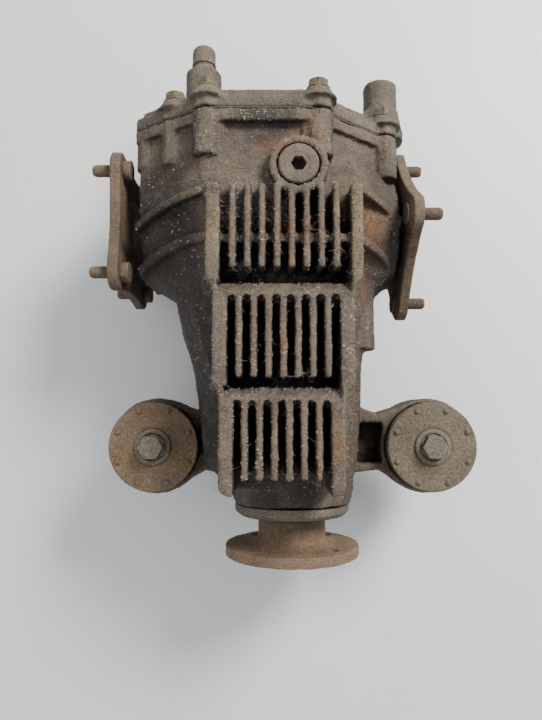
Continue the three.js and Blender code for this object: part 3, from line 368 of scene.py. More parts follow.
def floor_material():
    p = Paint("floor")
    mottle = p.noise(6, 4, 0.5)
    colour = p.blend(p.step(mottle, 0.3, 0.7), (0.80, 0.80, 0.78), (0.84, 0.84, 0.825))
    return p.finish(colour, p.step(mottle, 0.3, 0.7, 0.45, 0.55), 0.0, p.relief(p.noise(60), 0.0001))


# ---------- making meshes ----------
def new_object(name, points, faces):
    mesh = bpy.data.meshes.new(name)
    mesh.from_pydata([tuple(p) for p in points], [], faces)
    return clean(name, mesh)


def clean(name, mesh, sharp=35.0):
    """Merges doubled points, turns faces outwards and shades smooth up to a sharp angle."""
    work = bmesh.new()
    work.from_mesh(mesh)
    bmesh.ops.remove_doubles(work, verts=work.verts, dist=1e-6)
    bmesh.ops.dissolve_degenerate(work, edges=work.edges, dist=1e-7)
    bmesh.ops.recalc_face_normals(work, faces=work.faces)
    limit = math.radians(sharp)
    for face in work.faces:
        face.smooth = True
    for edge in work.edges:
        edge.smooth = len(edge.link_faces) == 2 and edge.calc_face_angle(0.0) < limit
    work.to_mesh(mesh)
    work.free()
    piece = bpy.data.objects.new(name, mesh)
    bpy.context.scene.collection.objects.link(piece)
    return piece


def basis(axis):
    """Two directions across an axis."""
    axis = Vector(axis).normalized()
    side = Vector((0, 0, 1)) if abs(axis.z) < 0.9 else Vector((1, 0, 0))
    across = (side - axis * side.dot(axis)).normalized()
    return axis, across, axis.cross(across)


def soften(profile, radius, steps=3):
    """Rounds the corners of a [radius, along] profile, ends kept."""
    made = [profile[0]]
    for before, corner, after in zip(profile, profile[1:], profile[2:]):
        a, b, c = (np.array(p, float) for p in (before, corner, after))
        reach = min(radius, 0.45 * np.linalg.norm(a - b), 0.45 * np.linalg.norm(c - b))
        start = b + (a - b) / np.linalg.norm(a - b) * reach
        end = b + (c - b) / np.linalg.norm(c - b) * reach
        for i in range(steps + 1):
            t = i / steps
            made.append(tuple((1 - t) ** 2 * start + 2 * t * (1 - t) * b + t * t * end))
    made.append(profile[-1])
    return made


def densify(profile, step=2.2):
    made = [profile[0]]
    for a, b in zip(profile, profile[1:]):
        count = max(1, math.ceil(math.dist(a, b) / step))
        made += [tuple(np.array(a) + (np.array(b) - np.array(a)) * i / count) for i in range(1, count + 1)]
    return made


def spun(profile, axis, centre, sides=96, shape=None):
    """Points and faces of a profile turned about an axis through a centre.

    shape(angle, radius, along) may bend a point to (radius, along).
    """
    axis, across, third = basis(axis)
    points, faces = [], []
    for r, t in profile:
        for i in range(sides):
            angle = 2 * math.pi * i / sides
            radius, along = shape(angle, r, t) if shape else (r, t)
            arm = across * (radius * math.cos(angle)) + third * (radius * math.sin(angle))
            points.append(at(*centre) + (axis * along + arm) * MM)
    for ring in range(len(profile) - 1):
        for i in range(sides):
            j = (i + 1) % sides
            a, b = ring * sides, (ring + 1) * sides
            faces.append((a + i, a + j, b + j, b + i))
    return points, faces


def turned(name, profile, axis, centre, sides=96, rounding=0.6, shape=None, step=2.2):
    if rounding:
        profile = soften(profile, rounding)
    return new_object(name, *spun(densify(profile, step), axis, centre, sides, shape))


def loop(*corners):
    """A ring-shaped profile, closed on itself."""
    start = tuple((np.array(corners[0]) + np.array(corners[-1])) / 2)
    return [start, *corners, start]


def prism(name, outline, across, up, axis, centre, start, end):
    """An outline in the plane of across and up, run along an axis, in millimetres."""
    points, faces = [], []
    for t in (start, end):
        points += [at(*centre) + (Vector(across) * a + Vector(up) * b + Vector(axis) * t) * MM
                   for a, b in outline]
    count = len(outline)
    faces += [(i, (i + 1) % count, count + (i + 1) % count, count + i) for i in range(count)]
    faces += [tuple(range(count)), tuple(range(count, 2 * count))]
    return new_object(name, points, faces)


def carve(piece, *tools):
    """Cuts the tools out of a piece and removes them."""
    for tool in tools:
        modifier = piece.modifiers.new("carve", "BOOLEAN")
        modifier.operation = "DIFFERENCE"
        modifier.solver = "EXACT"
        modifier.object = tool
    settle(piece)
    for tool in tools:
        bpy.data.objects.remove(tool)
    return piece


def settle(piece):
    """Turns a piece's modifiers into its mesh."""
    bpy.context.view_layer.update()
    graph = bpy.context.evaluated_depsgraph_get()
    mesh = bpy.data.meshes.new_from_object(piece.evaluated_get(graph))
    piece.modifiers.clear()
    piece.data = mesh


def shade(piece, sharp=35.0):
    """Smooth shading with the sharp edges kept."""
    work = bmesh.new()
    work.from_mesh(piece.data)
    limit = math.radians(sharp)
    for face in work.faces:
        face.smooth = True
    for edge in work.edges:
        edge.smooth = len(edge.link_faces) == 2 and edge.calc_face_angle(0.0) < limit
    work.to_mesh(piece.data)
    work.free()


def hex_prism(name, across_flats, axis, centre, start, end):
    corner = across_flats / math.sqrt(3)
    outline = [(corner * math.cos(k * math.pi / 3), corner * math.sin(k * math.pi / 3)) for k in range(6)]
    axis, side, third = basis(axis)
    return prism(name, outline, side, third, axis, centre, start, end)


def hex_shape(across_flats, from_along):
    """Bends rings beyond from_along to a hexagon with a chamfered crown."""
    apothem = across_flats / 2

    def bend(angle, r, t):
        if t < from_along:
            return r, t
        wedge = (angle % (math.pi / 3)) - math.pi / 6
        reach = apothem / math.cos(wedge)
        radius = r * reach / apothem
        return radius, t - max(0.0, radius - apothem * 0.97) * 0.55

    return bend


CLOUD_SIZES = {"broad": 0.011, "fine": 0.0024}


def clouds(name, size, depth):
    texture = bpy.data.textures.new(name, "CLOUDS")
    texture.noise_scale = size
    texture.noise_depth = depth
    return texture


def roughen(piece, texture, strength):
    modifier = piece.modifiers.new("roughen", "DISPLACE")
    modifier.texture = texture
    modifier.texture_coords = "GLOBAL"
    modifier.strength = strength
    modifier.mid_level = 0.5


def cast(name, node, voxel, extras, rounds, swell, broad=0.0012, fine=0.0007):
    """A cast surface over a CAD node and its extras: one skin with soft edges and sand grain."""
    work = bmesh.new()
    work.from_mesh(frame["nodes"][node].data)
    for extra in extras:
        work.from_mesh(extra.data)
        bpy.data.objects.remove(extra)
    mesh = bpy.data.meshes.new(name)
    work.to_mesh(mesh)
    work.free()
    piece = bpy.data.objects.new(name, mesh)
    bpy.context.scene.collection.objects.link(piece)
    skin = piece.modifiers.new("skin", "REMESH")
    skin.mode = "VOXEL"
    skin.voxel_size = voxel * MM
    soft = piece.modifiers.new("soft", "SMOOTH")
    soft.factor = 0.5
    soft.iterations = rounds
    push = piece.modifiers.new("push", "DISPLACE")
    push.strength = swell * MM
    push.mid_level = 0.0
    roughen(piece, clouds("broad_grain", CLOUD_SIZES["broad"], 2), broad)
    roughen(piece, clouds("fine_grain", CLOUD_SIZES["fine"], 3), fine)
    settle(piece)
    piece.data.shade_smooth()
    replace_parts(piece, node)
    return piece


SHAFT_SKIN = 12.8  # radius in mm that the output shafts keep inside the case
SHAFT_INNER = 74  # mm from the middle of the axle, where the shafts leave the housing


def true_shaft(piece):
    """Holds the inner stretch of an output shaft to a true radius, clear of its bore."""
    for vertex in piece.data.vertices:
        x, y, z = (vertex.co - ORIGIN) / MM
        radius = math.hypot(y, z)
        if abs(x) < SHAFT_INNER and SHAFT_SKIN < radius < SHAFT_SKIN + 1.7:
            part = SHAFT_SKIN / radius
            vertex.co = at(x, y * part, z * part)
    piece.data.update()


def pit(piece, depth, scale, seed):
    """Moves the points of a rusted piece in and out a little."""
    mesh = piece.data
    count = len(mesh.vertices)
    normals = np.zeros(count * 3, np.float32)
    mesh.vertices.foreach_get("normal", normals)
    normals = normals.reshape(-1, 3)
    shift = Vector((seed * 3.7, seed * 1.3, seed * 2.1))
    for vertex, normal in zip(mesh.vertices, normals):
        wave = noise.fractal(vertex.co * scale + shift, 0.8, 2.1, 4)
        vertex.co += Vector(normal) * (wave * depth * MM)
    mesh.update()


# ---------- castings ----------
def centre_of(node):
    place = (middle(node) - ORIGIN) / MM
    return place.x, place.y, place.z


PLUG_PLACE = centre_of("drain_plug")
BUSHES = {side: centre_of(f"bush_plate_{side}") for side in ("left", "right")}
STUD_PLACE = centre_of("rear_mount_stud")
REAR_BOSS_PITCH = 154
RIGHT_BOSS_STEP = 11.5  # how much shorter the right boss is
REAR_BOSSES = {
    "left": {
        "centre": (STUD_PLACE[0], 0, STUD_PLACE[2]),
        "end": local("rear_cover")[1].y,
        "r": 15,
        "bore": 6.8,
    },
    "right": {
        "centre": (STUD_PLACE[0] + REAR_BOSS_PITCH, 0, STUD_PLACE[2]),
        "end": local("rear_cover")[1].y - RIGHT_BOSS_STEP,
        "r": 14,
        "bore": 6,
    },
}
NOSE_END = local("dust_deflector")[1].y + 1
FIN_TOP = 93.0
# where each bar between two tiers of ribs runs: start of the slots, edge of the trench, sides
BARS = [
    {"slots": -68.8, "trench": -59.8, "left": -53, "right": 38.5, "fall": 9.0},
    {"slots": -141.5, "trench": -133.7, "left": -48, "right": 30.5, "fall": 8.0},
]


def ledges():
    """The slopes that lead from the top of the block down into a tier of slots."""
    made = []
    for i, bar in enumerate(BARS):
        y = bar["slots"]
        outline = [(y + 1.5, FIN_TOP - 0.5), (y + 1.5, 46), (y - 17, 46), (y - 15, 56)]
        span = bar["left"] - 1, bar["right"] + 1
        made.append(prism(f"ledge_{i}", outline, (0, 1, 0), (0, 0, 1), (1, 0, 0), (0, 0, 0), *span))
    return made


def wear_bars(piece):
    """Slopes the bars down to their trenches, with a crust of dirt."""
    mesh = piece.data
    for vertex in mesh.vertices:
        x, y, z = (vertex.co - ORIGIN) / MM
        if z < FIN_TOP - 18:
            continue
        crust = 1.4 * noise.fractal(vertex.co * 260, 0.7, 2.1, 4)
        top = None
        for bar in BARS:
            if bar["slots"] - 3 < y < bar["trench"] + 1 and bar["left"] - 1 < x < bar["right"] + 1:
                part = (y - bar["slots"]) / (bar["trench"] - bar["slots"])
                top = FIN_TOP - 0.6 - bar["fall"] * max(0.0, part) ** 1.3
        if top is not None and z > top + crust:
            vertex.co.z = at(0, 0, top + crust).z
    mesh.update()


def carrier_extras():
    barrel = loop((44, -119), (60, -92), (84, -61), (84, -8), (72, 8), (72, 46), (46, 78),
                  (46, 76), (66, 44), (66, 8), (79, -10), (79, -58), (56, -92), (45, -112))
    skin = turned("barrel", barrel, (1, 0, 0), (0, 0, 0), 128, 0, step=12)
    for vertex in skin.data.vertices:
        vertex.co.y = min(vertex.co.y, at(0, 68, 0).y)
    made = [skin]
    end = NOSE_END
    collar = loop((46, end + 21), (48.4, end + 16), (48.4, end + 3), (46, end + 0.5), (40, end + 0.5),
                  (40, end + 21))
    made.append(turned("nose_collar", collar, (0, 1, 0), (0, 0, 0), 96, 1.5, step=8))
    for x, y, _ in BUSHES.values():
        eye = loop((38, -28), (38, 10), (34.4, 10), (34.4, -28))
        made.append(turned(f"eye_{round(x)}", eye, (0, 0, 1), (x, y, 0), 96, 0, step=8))
    x, y, _ = PLUG_PLACE
    rim = loop((21, 78), (21, 91.2), (18.4, 92), (16.2, 91), (16.2, 78))
    made.append(turned("plug_rim", rim, (0, 0, 1), (x, y, 0), 72, 0, step=6))
    return made + ledges()


def cover_extras():
    made = []
    for side, boss in REAR_BOSSES.items():
        end, r, inner = boss["end"], boss["r"], boss["bore"]
        band = loop((r + 5, 88), (r + 1.2, 106), (r + 0.1, 112), (r + 0.1, end - 0.2), (inner, end - 0.2),
                    (inner, 112), (8, 88))
        made.append(turned(f"rear_boss_{side}", band, (0, 1, 0), boss["centre"], 72, 0, step=6))
    for number in range(1, 9):
        x, _, z = centre_of(f"cover_bolt_{number}")
        cone = loop((15, 79), (11, 83.5), (9.4, 87.8), (4.8, 87.8), (4.8, 79))
        made.append(turned(f"bolt_boss_{number}", cone, (0, 1, 0), (x, 0, z), 48, 0, step=4))
    return made


# ---------- turned and forged pieces ----------
def companion_flange():
    low, high = local("companion_flange")
    front, rim = low.y, (high.x - low.x) / 2
    step = NOSE_END - 13.5
    floor_y = front + 13.5
    profile = loop(
        (rim, front + 0.3), (rim, front + 8.2), (36, front + 8.6), (29.5, front + 11), (27.4, front + 14),
        (27.2, step), (22, step), (22, high.y), (12.8, high.y), (12.8, floor_y), (21, floor_y),
        (21, front + 2.5), (34, front + 2.5), (34, front),
    )
    piece = turned("input_flange", profile, (0, 1, 0), (0, 0, 0), 144, 0.9, step=1.8)
    holes = []
    for k in range(4):
        angle = math.radians(45 + 90 * k)
        centre = (42 * math.cos(angle), 0, 42 * math.sin(angle))
        bit = turned(f"bit_{k}", [(0, front - 5), (5.3, front - 5), (5.3, front + 15), (0, front + 15)],
                     (0, 1, 0), centre, 40, 0, step=50)
        holes.append(bit)
    carve(piece, *holes)
    shade(piece)
    pit(piece, 0.45, 240, 4)
    return piece


def dust_deflector():
    end = NOSE_END
    profile = loop((22.3, end - 9.4), (22.3, end - 12.6), (30, end - 12.8), (43, end - 10.2), (46.5, end - 7),
                   (46.5, end - 1.2), (43.5, end - 1.2), (43.5, end - 6.4), (40, end - 9.4))
    piece = turned("dust_ring", profile, (0, 1, 0), (0, 0, 0), 144, 0.8, step=1.8)
    pit(piece, 0.18, 300, 8)
    return piece


def thread(radius, pitch, depth, start):
    """Bends rings beyond start into a screw thread."""

    def bend(angle, r, t):
        if t < start or r < radius * 0.9:
            return r, t
        phase = (t / pitch + angle / (2 * math.pi)) % 1.0
        return r - depth * abs(2 * phase - 1), t

    return bend


def output_stud(name, node, side, head):
    low, high = local(node)
    y, z = (low.y + high.y) / 2, (low.z + high.z) / 2
    reach = (-low.x if side < 0 else high.x) - 0.1
    back = (-high.x if side < 0 else low.x) + 0.1
    shoulder = back + head
    body = soften([(0, back), (7.9, back), (7.9, shoulder), (4.95, shoulder), (4.95, reach - 2.2),
                   (3.4, reach), (0, reach)], 0.5)
    piece = new_object(name, *spun(densify(body, 0.32), (side, 0, 0), (0, y, z), 28,
                                   thread(4.95, 1.5, 0.55, shoulder + 9)))
    pit(piece, 0.16, 500, len(name))
    return piece


def output_extras(side, face, turn):
    """Round forms laid over the flange before it is skinned."""
    outer = abs(face)
    hub = loop((22.2, outer - 32), (22.2, outer - 12), (31, outer - 7.5), (24, outer - 3), (14, outer - 12),
               (14, outer - 32))
    made = [turned(f"hub_{side}", hub, (side, 0, 0), (0, 0, 0), 96, 0, step=6)]
    for k in range(4):
        angle = turn + k * math.pi / 2
        centre = (0, 58 * math.cos(angle), 58 * math.sin(angle))
        pad = loop((10.5, outer - 9.4), (10.5, outer - 2), (5.9, outer - 2), (5.9, outer - 9.4))
        if side > 0:
            made.append(turned(f"pad_{side}_{k}", pad, (side, 0, 0), centre, 40, 0, step=6))
    return made


def bush_plate(side):
    """A pressed disc with eight pimples near its rim and a dished middle."""
    x, y, _ = BUSHES[side]
    low, high = local(f"bush_plate_{side}")
    radius = (high.x - low.x) / 2

    def bend(angle, r, t):
        lift = t
        if t > low.z + 1.6:
            wedge = (angle % (math.pi / 4)) - math.pi / 8
            gap = math.hypot(r * math.cos(wedge) - 30.2, r * math.sin(wedge))
            lift += 1.7 * max(0.0, 1 - (gap / 2.2) ** 2) ** 0.5
            lift -= 0.5 * math.exp(-(((gap - 3.2) / 0.7) ** 2))
            lift += 0.8 * math.exp(-(((r - 17.0) / 2.5) ** 2))
        return r, lift

    top = high.z - 0.2
    profile = [(7.2, low.z), (radius - 0.8, low.z), (radius, low.z + 0.9), (radius, top - 1.0),
               (radius - 1.0, top), (7.2, top), (7.2, low.z)]
    piece = new_object(f"bush_cap_{side}", *spun(densify(profile, 0.8), (0, 0, 1), (x, y, 0), 240, bend))
    pit(piece, 0.22, 330, 3 if side == "left" else 11)
    return piece


def bush_bolt(side):
    x, y, _ = BUSHES[side]
    low, high = local(f"bush_bolt_{side}")
    seat = local(f"bush_plate_{side}")[1].z + 0.25
    top = high.z - 0.1
    profile = [(0, low.z), (5.4, low.z), (6.1, low.z + 1.2), (6.1, seat), (14, seat), (14, seat + 1.9),
               (12.6, seat + 2.6), (8.5, seat + 2.62), (8.5, top - 0.01), (8.2, top), (0, top)]
    flats = hex_shape(17, seat + 2.61)
    piece = new_object(f"bush_screw_{side}", *spun(densify(profile, 0.9), (0, 0, 1), (x, y, 0), 96, flats))
    pit(piece, 0.14, 420, 6 if side == "left" else 13)
    return piece


def bush_parts(side):
    x, y, _ = BUSHES[side]
    shell = loop((34.0, -29.8), (34.0, 12.6), (33.2, 13), (31.4, 12.6), (31.4, -29.8))
    rubber = loop((30.8, -27.6), (30.8, 12.5), (32.4, 15.5), (31.2, 19.2), (26, 21.3), (14.4, 21.3),
                  (14.4, -27.6))
    sleeve = loop((13.8, -33), (13.8, 22.1), (7.1, 22.1), (7.1, -33))
    made = {}
    for key, profile, rounding in (("shell", shell, 0.4), ("rubber", rubber, 1.6), ("sleeve", sleeve, 0.5)):
        made[key] = turned(f"bush_{key}_skin_{side}", profile, (0, 0, 1), (x, y, 0), 120, rounding, step=2)
    pit(made["shell"], 0.15, 300, 5)
    pit(made["rubber"], 0.5, 120, 9)
    return made


def drain_plug():
    x, y, _ = PLUG_PLACE
    low, high = local("drain_plug")
    top = high.z
    profile = [(0, low.z), (8.4, low.z), (9.8, low.z + 2), (9.8, 85.4), (14.6, 85.4), (14.6, top - 1.2),
               (13.6, top - 0.1), (8.4, top - 0.1), (7.9, top - 0.5), (0, top - 0.5)]
    piece = turned("drain_plug_skin", profile, (0, 0, 1), (x, y, 0), 96, 0.4, step=1.5)
    carve(piece, hex_prism("key_room", 10, (0, 0, 1), (x, y, 0), top - 8, top + 5))
    shade(piece)
    pit(piece, 0.15, 350, 2)
    return piece


def filler_plug():
    low, high = local("filler_plug")
    x, _, z = centre_of("filler_plug")
    end = high.y
    profile = [(0, low.y), (8, low.y), (8.9, low.y + 1), (8.9, end - 6), (13.9, end - 6), (13.9, end - 1.1),
               (12.9, end - 0.1), (0, end - 0.1)]
    piece = turned("filler_plug_skin", profile, (0, 1, 0), (x, 0, z), 96, 0.4, step=1.5)
    carve(piece, hex_prism("filler_key_room", 10, (0, 1, 0), (x, 0, z), end - 8, end + 5))
    shade(piece)
    return piece


def cover_bolt(node):
    low, high = local(node)
    x, z = (low.x + high.x) / 2, (low.z + high.z) / 2
    end = high.y - 0.1
    seat = end - 7 + 0.1
    profile = [(0, low.y), (3.3, low.y), (3.9, low.y + 1), (3.9, seat), (8.9, seat), (8.9, seat + 1.1),
               (7.4, seat + 1.9), (7, seat + 1.95), (7, end - 0.01), (6.7, end), (0, end)]
    piece = new_object(f"{node}_skin", *spun(densify(profile, 0.9), (0, 1, 0), (x, 0, z), 72,
                                             hex_shape(14, seat + 1.93)))
    pit(piece, 0.12, 420, int(node[-1]))
    return piece


def rear_stud():
    low, high = local("rear_mount_stud")
    x, _, z = STUD_PLACE
    end = high.y
    seat = end - 23.5
    profile = [(0, low.y), (5.9, low.y), (5.9, seat), (12.4, seat), (12.2, seat + 1.2), (10.8, seat + 3.4),
               (9, seat + 4.4), (9, seat + 6.8), (10.4, seat + 7.4), (10.4, seat + 8.8), (10.0, seat + 9.3),
               (10.1, seat + 18.6), (9.6, seat + 21.2), (8.2, end - 0.6), (6, end), (0, end)]
    piece = turned("rear_mount_stud_skin", profile, (0, 1, 0), (x, 0, z), 96, 0.35, step=1.2)
    pit(piece, 0.12, 300, 7)
    return piece


def breather():
    low, high = local("breather")
    x, _, z = centre_of("breather")
    base, end = low.y, high.y
    profile = [(0, base), (3.9, base), (3.9, base + 9.4), (6.4, base + 9.4), (6.4, base + 13), (5, base + 14),
               (8.9, base + 15), (8.9, end - 2), (7, end), (0, end)]
    return turned("breather_skin", profile, (0, 1, 0), (x, 0, z), 64, 0.4, step=1.2)


def pinion_nut():
    low, high = local("pinion_nut")
    flange = high.y
    profile = [(9.4, -flange), (18.4, -flange), (18.4, -flange + 2.6), (15, -flange + 3.2),
               (15, -low.y - 0.01), (14.4, -low.y), (9.4, -low.y), (9.4, -flange)]
    return new_object("pinion_nut_skin", *spun(densify(profile, 1.2), (0, -1, 0), (0, 0, 0), 96,
                                               hex_shape(30, -flange + 3.1)))


# ---------- dirt ----------
def surface_points(piece, count, rng, wanted):
    """Random places on a piece, kept where wanted(place, normal, open) says so."""
    mesh = piece.data
    polygons = mesh.polygons
    open_mask = mesh.attributes["open"].data
    found = []
    while len(found) < count:
        polygon = polygons[rng.randrange(len(polygons))]
        openness = open_mask[polygon.vertices[0]].value
        if wanted(polygon.center, polygon.normal, openness, rng):
            found.append((polygon.center.copy(), polygon.normal.copy()))
    return found


def lumps(name, places, rng, small, large):
    """Grains of dirt: squashed, uneven little solids half sunk in the surface."""
    seed = bmesh.new()
    bmesh.ops.create_icosphere(seed, subdivisions=1, radius=1)
    ball = [v.co.copy() for v in seed.verts]
    skin = [[v.index for v in f.verts] for f in seed.faces]
    seed.free()
    points, faces = [], []
    for place, normal in places:
        size = (small + (large - small) * rng.random() ** 3) * MM
        turn = Matrix.Rotation(rng.uniform(0, math.tau), 3, "Z")
        _, across, third = basis(normal)
        frame_of = Matrix((across, third, normal)).transposed()
        stretch = Vector((rng.uniform(0.7, 1.5), rng.uniform(0.6, 1.0), rng.uniform(0.35, 0.7)))
        start = len(points)
        for corner in ball:
            spot = turn @ (corner * rng.uniform(0.72, 1.12))
            spot = Vector((spot.x * stretch.x, spot.y * stretch.y, spot.z * stretch.z))
            points.append(place + frame_of @ (spot * size))
        faces += [tuple(start + i for i in face) for face in skin]
    mesh = bpy.data.meshes.new(name)
    mesh.from_pydata([tuple(p) for p in points], [], faces)
    piece = bpy.data.objects.new(name, mesh)
    bpy.context.scene.collection.objects.link(piece)
    return piece


def strand(path, radius):
    """A thin thread along a path, pointed at both ends."""
    points, faces = [], []
    sides = 5
    for i, place in enumerate(path):
        ahead = path[min(i + 1, len(path) - 1)] - path[max(i - 1, 0)]
        _, across, third = basis(ahead if ahead.length > 1e-7 else Vector((1, 0, 0)))
        thick = radius * (0.25 if i in (0, len(path) - 1) else 1.0)
        for k in range(sides):
            angle = math.tau * k / sides
            points.append(place + (across * math.cos(angle) + third * math.sin(angle)) * thick)
    for i in range(len(path) - 1):
        for k in range(sides):
            j = (k + 1) % sides
            faces.append((i * sides + k, i * sides + j, (i + 1) * sides + j, (i + 1) * sides + k))
    faces.append(tuple(reversed(range(sides))))
    faces.append(tuple(range(len(points) - sides, len(points))))
    return points, faces


# places in (x, y) where fibres have caught, with how far they spread
SNAGS = [(-60, -62, 5), (-58, -130, 5), (-8, -127, 6), (8, -126, 5), (14, -200, 6), (-30, -199, 6),
         (-56, 8, 7), (-20, 20, 12), (30, -46, 6), (-40, -50, 5), (10, -24, 10), (-44, -10, 8)]


def lint(tree, rng, count):
    """Fibres and hairs that drape over the fins, most of them in tangles."""
    points, faces = [], []
    while count:
        x, y = rng.uniform(-66, 50), rng.uniform(-200, 52)
        length = rng.uniform(3, 14)
        curl = rng.uniform(-0.35, 0.35)
        if rng.random() < 0.65:
            snag_x, snag_y, spread = rng.choice(SNAGS)
            x, y = rng.gauss(snag_x, spread * 0.6), rng.gauss(snag_y, spread * 0.6)
            curl = rng.uniform(-0.8, 0.8)
        heading = rng.uniform(0, math.tau)
        steps = max(5, int(length / 1.1))
        path, height = [], None
        for _ in range(steps):
            spot, _, _, _ = tree.ray_cast(at(x, y, 130), Vector((0, 0, -1)))
            if spot is None:
                break
            drop = at(0, 0, 0).z if height is None else height - 1.1 * MM
            height = max(spot.z + 0.2 * MM, drop)
            path.append(Vector((spot.x, spot.y, height + rng.uniform(0, 0.5) * MM)))
            heading += curl + rng.uniform(-0.3, 0.3)
            x += 1.1 * math.cos(heading)
            y += 1.1 * math.sin(heading)
        if len(path) < 5:
            continue
        for i in range(len(path) - 2, -1, -1):
            path[i].z = max(path[i].z, path[i + 1].z - 1.3 * MM)
        made, skin = strand(path, rng.uniform(0.07, 0.16) * MM)
        start = len(points)
        points += made
        faces += [tuple(start + i for i in face) for face in skin]
        count -= 1
    mesh = bpy.data.meshes.new("lint")
    mesh.from_pydata([tuple(p) for p in points], [], faces)
    mesh.shade_smooth()
    piece = bpy.data.objects.new("lint", mesh)
    bpy.context.scene.collection.objects.link(piece)
    return piece


# ---------- how open each spot is ----------
def sky_rays(count):
    """Evenly spread directions over the half sphere about +Z."""
    golden = math.pi * (3 - math.sqrt(5))
    rays = []
    for i in range(count):
        z = 1 - (i + 0.5) / count * 0.92
        r = math.sqrt(1 - z * z)
        rays.append((r * math.cos(golden * i), r * math.sin(golden * i), z))
    return rays


RAYS = sky_rays(10)
REACH = 42 * MM


def scene_tree(pieces):
    points, faces = [], []
    for piece in pieces:
        start = len(points)
        points += [v.co for v in piece.data.vertices]
        faces += [[start + i for i in p.vertices] for p in piece.data.polygons]
    return BVHTree.FromPolygons(points, faces)


def mark_open(piece, tree):
    mesh = piece.data
    count = len(mesh.vertices)
    co = np.zeros(count * 3, np.float32)
    no = np.zeros(count * 3, np.float32)
    mesh.vertices.foreach_get("co", co)
    mesh.vertices.foreach_get("normal", no)
    co, no = co.reshape(-1, 3).astype(float), no.reshape(-1, 3).astype(float)
    side = np.where(np.abs(no[:, 2:3]) < 0.9, [[0.0, 0.0, 1.0]], [[1.0, 0.0, 0.0]])
    across = side - no * (side * no).sum(1, keepdims=True)
    across /= np.linalg.norm(across, axis=1, keepdims=True)
    third = np.cross(no, across)
    starts = co + no * (0.5 * MM)
    free = np.zeros(count)
    cast_ray = tree.ray_cast
    for a, b, c in RAYS:
        aims = across * a + third * b + no * c
        for i in range(count):
            hit = cast_ray(starts[i], aims[i], REACH)
            free[i] += 1.0 if hit[3] is None else min(1.0, hit[3] / REACH) * 0.85
    mask = mesh.attributes.new("open", "FLOAT", "POINT")
    mask.data.foreach_set("value", (free / len(RAYS)).astype(np.float32))


# ---------- build ----------
add_camera()
add_lights()

ORANGE = (0.27, 0.105, 0.024)
OCHRE = (0.33, 0.25, 0.115)
casting_patches = [
    (at(56, -12, 70), 0.016, 0.022, ORANGE),
    (at(52, -55, 62), 0.012, 0.020, ORANGE),
    (at(44, -12, 93), 0.010, 0.020, OCHRE),
    (at(43, -45, 93), 0.008, 0.016, OCHRE),
    (at(-58, -22, 93), 0.008, 0.020, OCHRE),
    (at(-16, -100, 92), 0.018, 0.016, ORANGE),
    (at(-4, -30, 92), 0.014, 0.018, ORANGE),
    (at(8, 46, 90), 0.010, 0.014, ORANGE),
    (at(-14, 40, 86), 0.008, 0.012, ORANGE),
    (at(20, -170, 90), 0.010, 0.016, ORANGE),
    (at(52, -110, 40), 0.014, 0.022, DARK_RUST),
]

# painted shadows: dark spots under the left wing ribs and along the sides of the casting
casting_shadow_spots = [
    (at(-92, -20, 50), 0.030, 0.020, 0.92),
    (at(-98, 12, 50), 0.022, 0.018, 0.80),
    (at(-84, -62, 42), 0.026, 0.020, 0.96),
    (at(-72, -105, 40), 0.024, 0.018, 0.96),
    (at(-68, -150, 42), 0.022, 0.018, 0.96),
    (at(-64, -190, 42), 0.022, 0.018, 0.92),
    (at(-10, -208, 52), 0.026, 0.012, 0.90),
    (at(-22, 64, 86), 0.018, 0.008, 0.75),
    (at(80, -40, 40), 0.024, 0.018, 0.60),
    (at(72, 28, 50), 0.016, 0.014, 0.55),
]

METALS = {
    "casting": aged("casting", (0.190, 0.150, 0.113), (0.100, 0.077, 0.060), 0.40, 0.60, 0.75, 0.05,
                    1.0, casting_patches, sides=0.93, shadow_spots=casting_shadow_spots),
    "cover_casting": aged("cover_casting", (0.205, 0.175, 0.133), (0.115, 0.097, 0.075), 0.22, 0.60,
                          0.60, 0.1, 0.9, [(at(-64, 86, 76), 0.008, 0.010, OCHRE)], sides=0.62),
    "plug": aged("plug_steel", (0.190, 0.150, 0.115), (0.110, 0.085, 0.066), 0.40, 0.35, 0.70, 0.1, 0.7),
    "rusty": aged("rusty_steel", (0.235, 0.180, 0.125), (0.120, 0.085, 0.060), 0.50, 0.42, 0.50, 0.1, 0.8,
                  sides=0.15),
    "disc": aged("disc_steel", (0.360, 0.262, 0.172), (0.225, 0.150, 0.094), 0.55, 0.26, 0.50, 0.1, 1.1),
    "tan_plate": aged("tan_plate", (0.300, 0.210, 0.125), (0.190, 0.125, 0.074), 0.40, 0.38, 0.50, 0.1,
                      1.0, sides=0.7),
    "olive_plate": aged("olive_plate", (0.225, 0.190, 0.140), (0.150, 0.122, 0.088), 0.30, 0.32, 0.55,
                        0.1, 1.0, sides=0.7),
    "olive_steel": aged("olive_steel", (0.230, 0.205, 0.155), (0.135, 0.120, 0.093), 0.15, 0.40, 0.50,
                        0.2, 0.6, sides=0.3),
    "zinc": aged("zinc_steel", (0.260, 0.225, 0.135), (0.140, 0.118, 0.076), 0.25, 0.45, 0.50, 0.3, 0.6,
                 sides=0.3),
    "inside": aged("inner_casting", (0.150, 0.130, 0.110), (0.090, 0.080, 0.070), 0.05, 0.30, 0.0, 0.4,
                   0.5, baked=False, wear=0.0),
    "rubber": rubber_material(),
    "steel": oiled_steel_material(),
    "fibre": fibre_material(),
}

VOXEL = 1.3
carrier = cast("carrier_casting", "carrier_housing", VOXEL, carrier_extras(), 4, 0.35, 0.0014, 0.0012)
wear_bars(carrier)
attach(carrier, "housing")
cover = cast("rear_cover_casting", "rear_cover", VOXEL, cover_extras(), 4, 0.3, 0.0010, 0.0009)
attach(cover, "housing")

made = [(carrier, "casting"), (cover, "cover_casting")]


def place(piece, node, body, slot_name, finish):
    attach(piece, body)
    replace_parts(piece, node)
    made.append((piece, finish))


